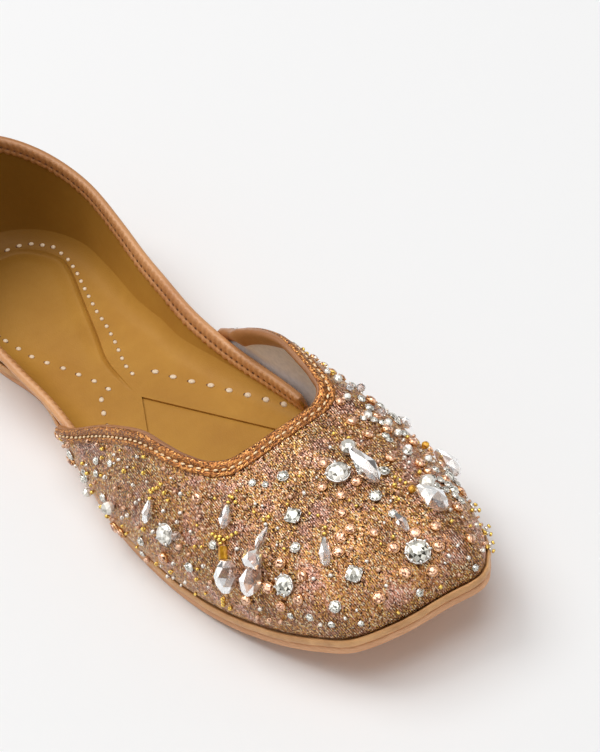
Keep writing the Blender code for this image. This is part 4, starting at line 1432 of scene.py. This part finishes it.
MAKES = (
    ("crystal", (("clear", "crystals_clear", clear_foil), ("rose", "crystals_rose", rose_foil),
                 ("oval", "crystals_oval", oval_glass), ("drop", "glass_drops", drop_glass),
                 ("peach_drop", "peach_drops", peach_glass),
                 ("amber", "amber_beads", amber_glass))),
    ("cup_metal", (("gold_cup", "gold_cups", gold_metal),
                   ("silver_cup", "silver_cups", silver_metal))),
    ("bead_metal", (("gold", "gold_seeds", gold_bead), ("silver", "silver_seeds", silver_bead),
                    ("peach", "peach_seeds", peach_bead))),
)
for slot, gathered in MAKES:
    for kind, name, material in gathered:
        heaps[kind].make(name, material, slot, smooth=slot != "crystal")


# Stitches

STITCH_PITCH = 0.0024
STITCH_START = 0.004
SOCK_THREAD = 0.00075
SOCK_HOLE = np.array([0.00022, 0.0009, 0.0008])


def stitch_row(name, wall, depth, offset, pitch, size, material, lean=0.0):
    """Stitches along a wall's edge, each a short rounded bar; size is height, width and length."""
    heap = Heap()
    for step in range(int((wall.edge_length - 2.0 * STITCH_START) / pitch)):
        share = (STITCH_START + (step + 0.5) * pitch) / wall.edge_length
        point, normal, travel = wall.along(share, depth, offset)
        travel = travel * math.cos(lean) + np.cross(normal, travel) * math.sin(lean)
        heap.add(STITCH, point, axes_on(travel, normal), np.array(size) / 2.0)
    heap.make(name, material, "thread")


stitch_row("vamp_stitches", vamp, 0.0029, 0.00042, STITCH_PITCH, (0.0007, 0.00075, 0.0017),
           gold_thread, 0.12)
# Dark bars painted as the shade in the binding's stitch holes
stitch_row("binding_holes", quarter_even, 0.0034, -0.00214, HOLE_PITCH, (0.00022, 0.0006, 0.0010),
           hole_shade)

# The sock's rows of stitches: points (x, y), then how many, how long and how wide
SOCK_STITCHES = (
    (((0.0195, 0.0180), (0.0268, 0.0186), (0.0350, 0.0172), (0.0441, 0.0146), (0.0569, 0.0113),
      (0.0643, 0.0100), (0.0733, 0.0077), (0.0846, 0.0041), (0.0898, 0.0036)), 18, 0.0017, 0.0013),
    (((0.0946, 0.0093), (0.1003, 0.0118), (0.1058, 0.0144), (0.1122, 0.0180), (0.1185, 0.0209),
      (0.1244, 0.0236), (0.1312, 0.0266), (0.1379, 0.0292)), 8, 0.0024, 0.0018),
    (((0.0455, -0.0176), (0.0585, -0.0154), (0.0650, -0.0132), (0.0714, -0.0107), (0.0776, -0.0088),
      (0.0835, -0.0069), (0.0898, -0.0057)), 8, 0.0020, 0.0015),
    (((0.0921, -0.0099), (0.0970, -0.0124), (0.1013, -0.0142), (0.1122, -0.0185), (0.1244, -0.0240),
      (0.1379, -0.0295)), 9, 0.0022, 0.0016),
    (((0.0455, -0.0176), (0.0350, -0.0186), (0.0240, -0.0184), (0.0150, -0.0150), (0.0080, -0.0080),
      (0.0065, 0.0000), (0.0085, 0.0090), (0.0130, 0.0145), (0.0195, 0.0180)), 18, 0.0017, 0.0013),
)
sock_stitches, sock_holes = Heap(), Heap()
for line, count, length, width in SOCK_STITCHES:
    path = at_shares(np.array(line), np.linspace(0.0, 1.0, count))
    heights = sock_top(path)
    ahead = np.gradient(path, axis=0)
    for spot, height, way in zip(path, heights, ahead):
        way = unit(way)
        left = np.array([-way[1], way[0]])
        slope = (sock_top(np.array([spot + SLOPE_STEP * left]))[0] - height) / SLOPE_STEP
        way = np.append(way, 0.0)
        normal = unit(np.cross(way, np.append(left, slope)))
        point = np.append(spot, height)
        axes = axes_on(way, normal)
        sock_stitches.add(STITCH, point + normal * 0.0001, axes,
                          np.array([SOCK_THREAD, width, length]) / 2.0)
        # A dark bar painted as the shade in each stitch's hole
        sock_holes.add(STITCH, point - way * length * 0.55 + normal * 0.00002, axes,
                       SOCK_HOLE / 2.0)
sock_stitches.make("sock_stitches", cream_thread, "thread")
sock_holes.make("sock_holes", hole_shade, "thread")


# Floor, light and camera

PALE = (0.905, 0.905, 0.905)
FLOOR_REACH = 3.0
LAMPS = (("key", (-1.20, -0.50, 2.20), 1.50, 23.0), ("top", (0.20, -0.10, 3.00), 2.6, 39.0))
AIM = Vector((0.03, 0.0, 0.02))
ROOM_BRIGHTNESS = 0.37
SENSOR = 36.0


def place_in_scene(name, data):
    """A thing of its own for some data, linked to the scene."""
    thing = bpy.data.objects.new(name, data)
    bpy.context.scene.collection.objects.link(thing)
    return thing


def make_stage():
    """A pale floor that runs out of sight, soft light from above the heel, and a pale room."""
    floor_mesh = bpy.data.meshes.new("floor")
    corners = [(-1, -1), (1, -1), (1, 1), (-1, 1)]
    floor_mesh.from_pydata([(x * FLOOR_REACH, y * FLOOR_REACH, 0.0) for x, y in corners], [],
                           [(0, 1, 2, 3)])
    material, _, shader, _ = new_material("floor_paper")
    put(shader, {"Base Color": (*PALE, 1.0), "Roughness": 0.9, "Specular IOR Level": 0.1})
    floor_mesh.materials.append(material)
    place_in_scene("floor", floor_mesh)

    for name, spot, size, power in LAMPS:
        light = bpy.data.lights.new(name, "AREA")
        light.shape = "DISK"
        light.size = size
        light.energy = power
        lamp = place_in_scene(name, light)
        lamp.location = spot
        lamp.rotation_euler = (AIM - Vector(spot)).to_track_quat("-Z", "Y").to_euler()

    world = bpy.data.worlds.new("room")
    world.use_nodes = True
    tree = world.node_tree
    place = node(tree, "ShaderNodeTexCoord").outputs["Generated"]
    panels = flakes_of(tree, place, 3.2)["Color"]
    grey = node(tree, "ShaderNodeSeparateColor", {"Color": panels}).outputs[0]
    patchy = ramp(tree, grey, ((0.0, (0.06, 0.06, 0.06)), (0.25, (0.55, 0.53, 0.50)),
                               (0.45, (1.0, 0.97, 0.93)), (0.75, (1.0, 1.0, 1.0))), "CONSTANT")
    patchy = blend_colours(tree, 1.0, patchy, spread(tree, grey, 0.6, 6.5), "MULTIPLY")
    rays = node(tree, "ShaderNodeLightPath").outputs
    sharp = calc(tree, "MAXIMUM", rays["Is Glossy Ray"], rays["Is Transmission Ray"])
    put(tree.nodes["Background"], {"Color": blend_colours(tree, sharp, (1.0, 1.0, 1.0), patchy),
                                   "Strength": ROOM_BRIGHTNESS})
    bpy.context.scene.world = world


def make_camera():
    """The camera at the photograph's angle."""
    data = bpy.data.cameras.new("camera")
    data.sensor_fit = "AUTO"
    data.sensor_width = SENSOR
    data.lens = SENSOR * VIEW_FOCAL / IMAGE_HEIGHT
    data.clip_start = 0.01
    data.clip_end = 20.0
    camera = place_in_scene("camera", data)
    turn = Matrix((RIGHT, UP, BACK)).transposed().to_4x4()
    turn.translation = Vector(EYE)
    camera.matrix_world = turn
    bpy.context.scene.camera = camera


make_stage()
make_camera()
bpy.context.scene.view_settings.view_transform = "Standard"

bpy.context.view_layer.update()
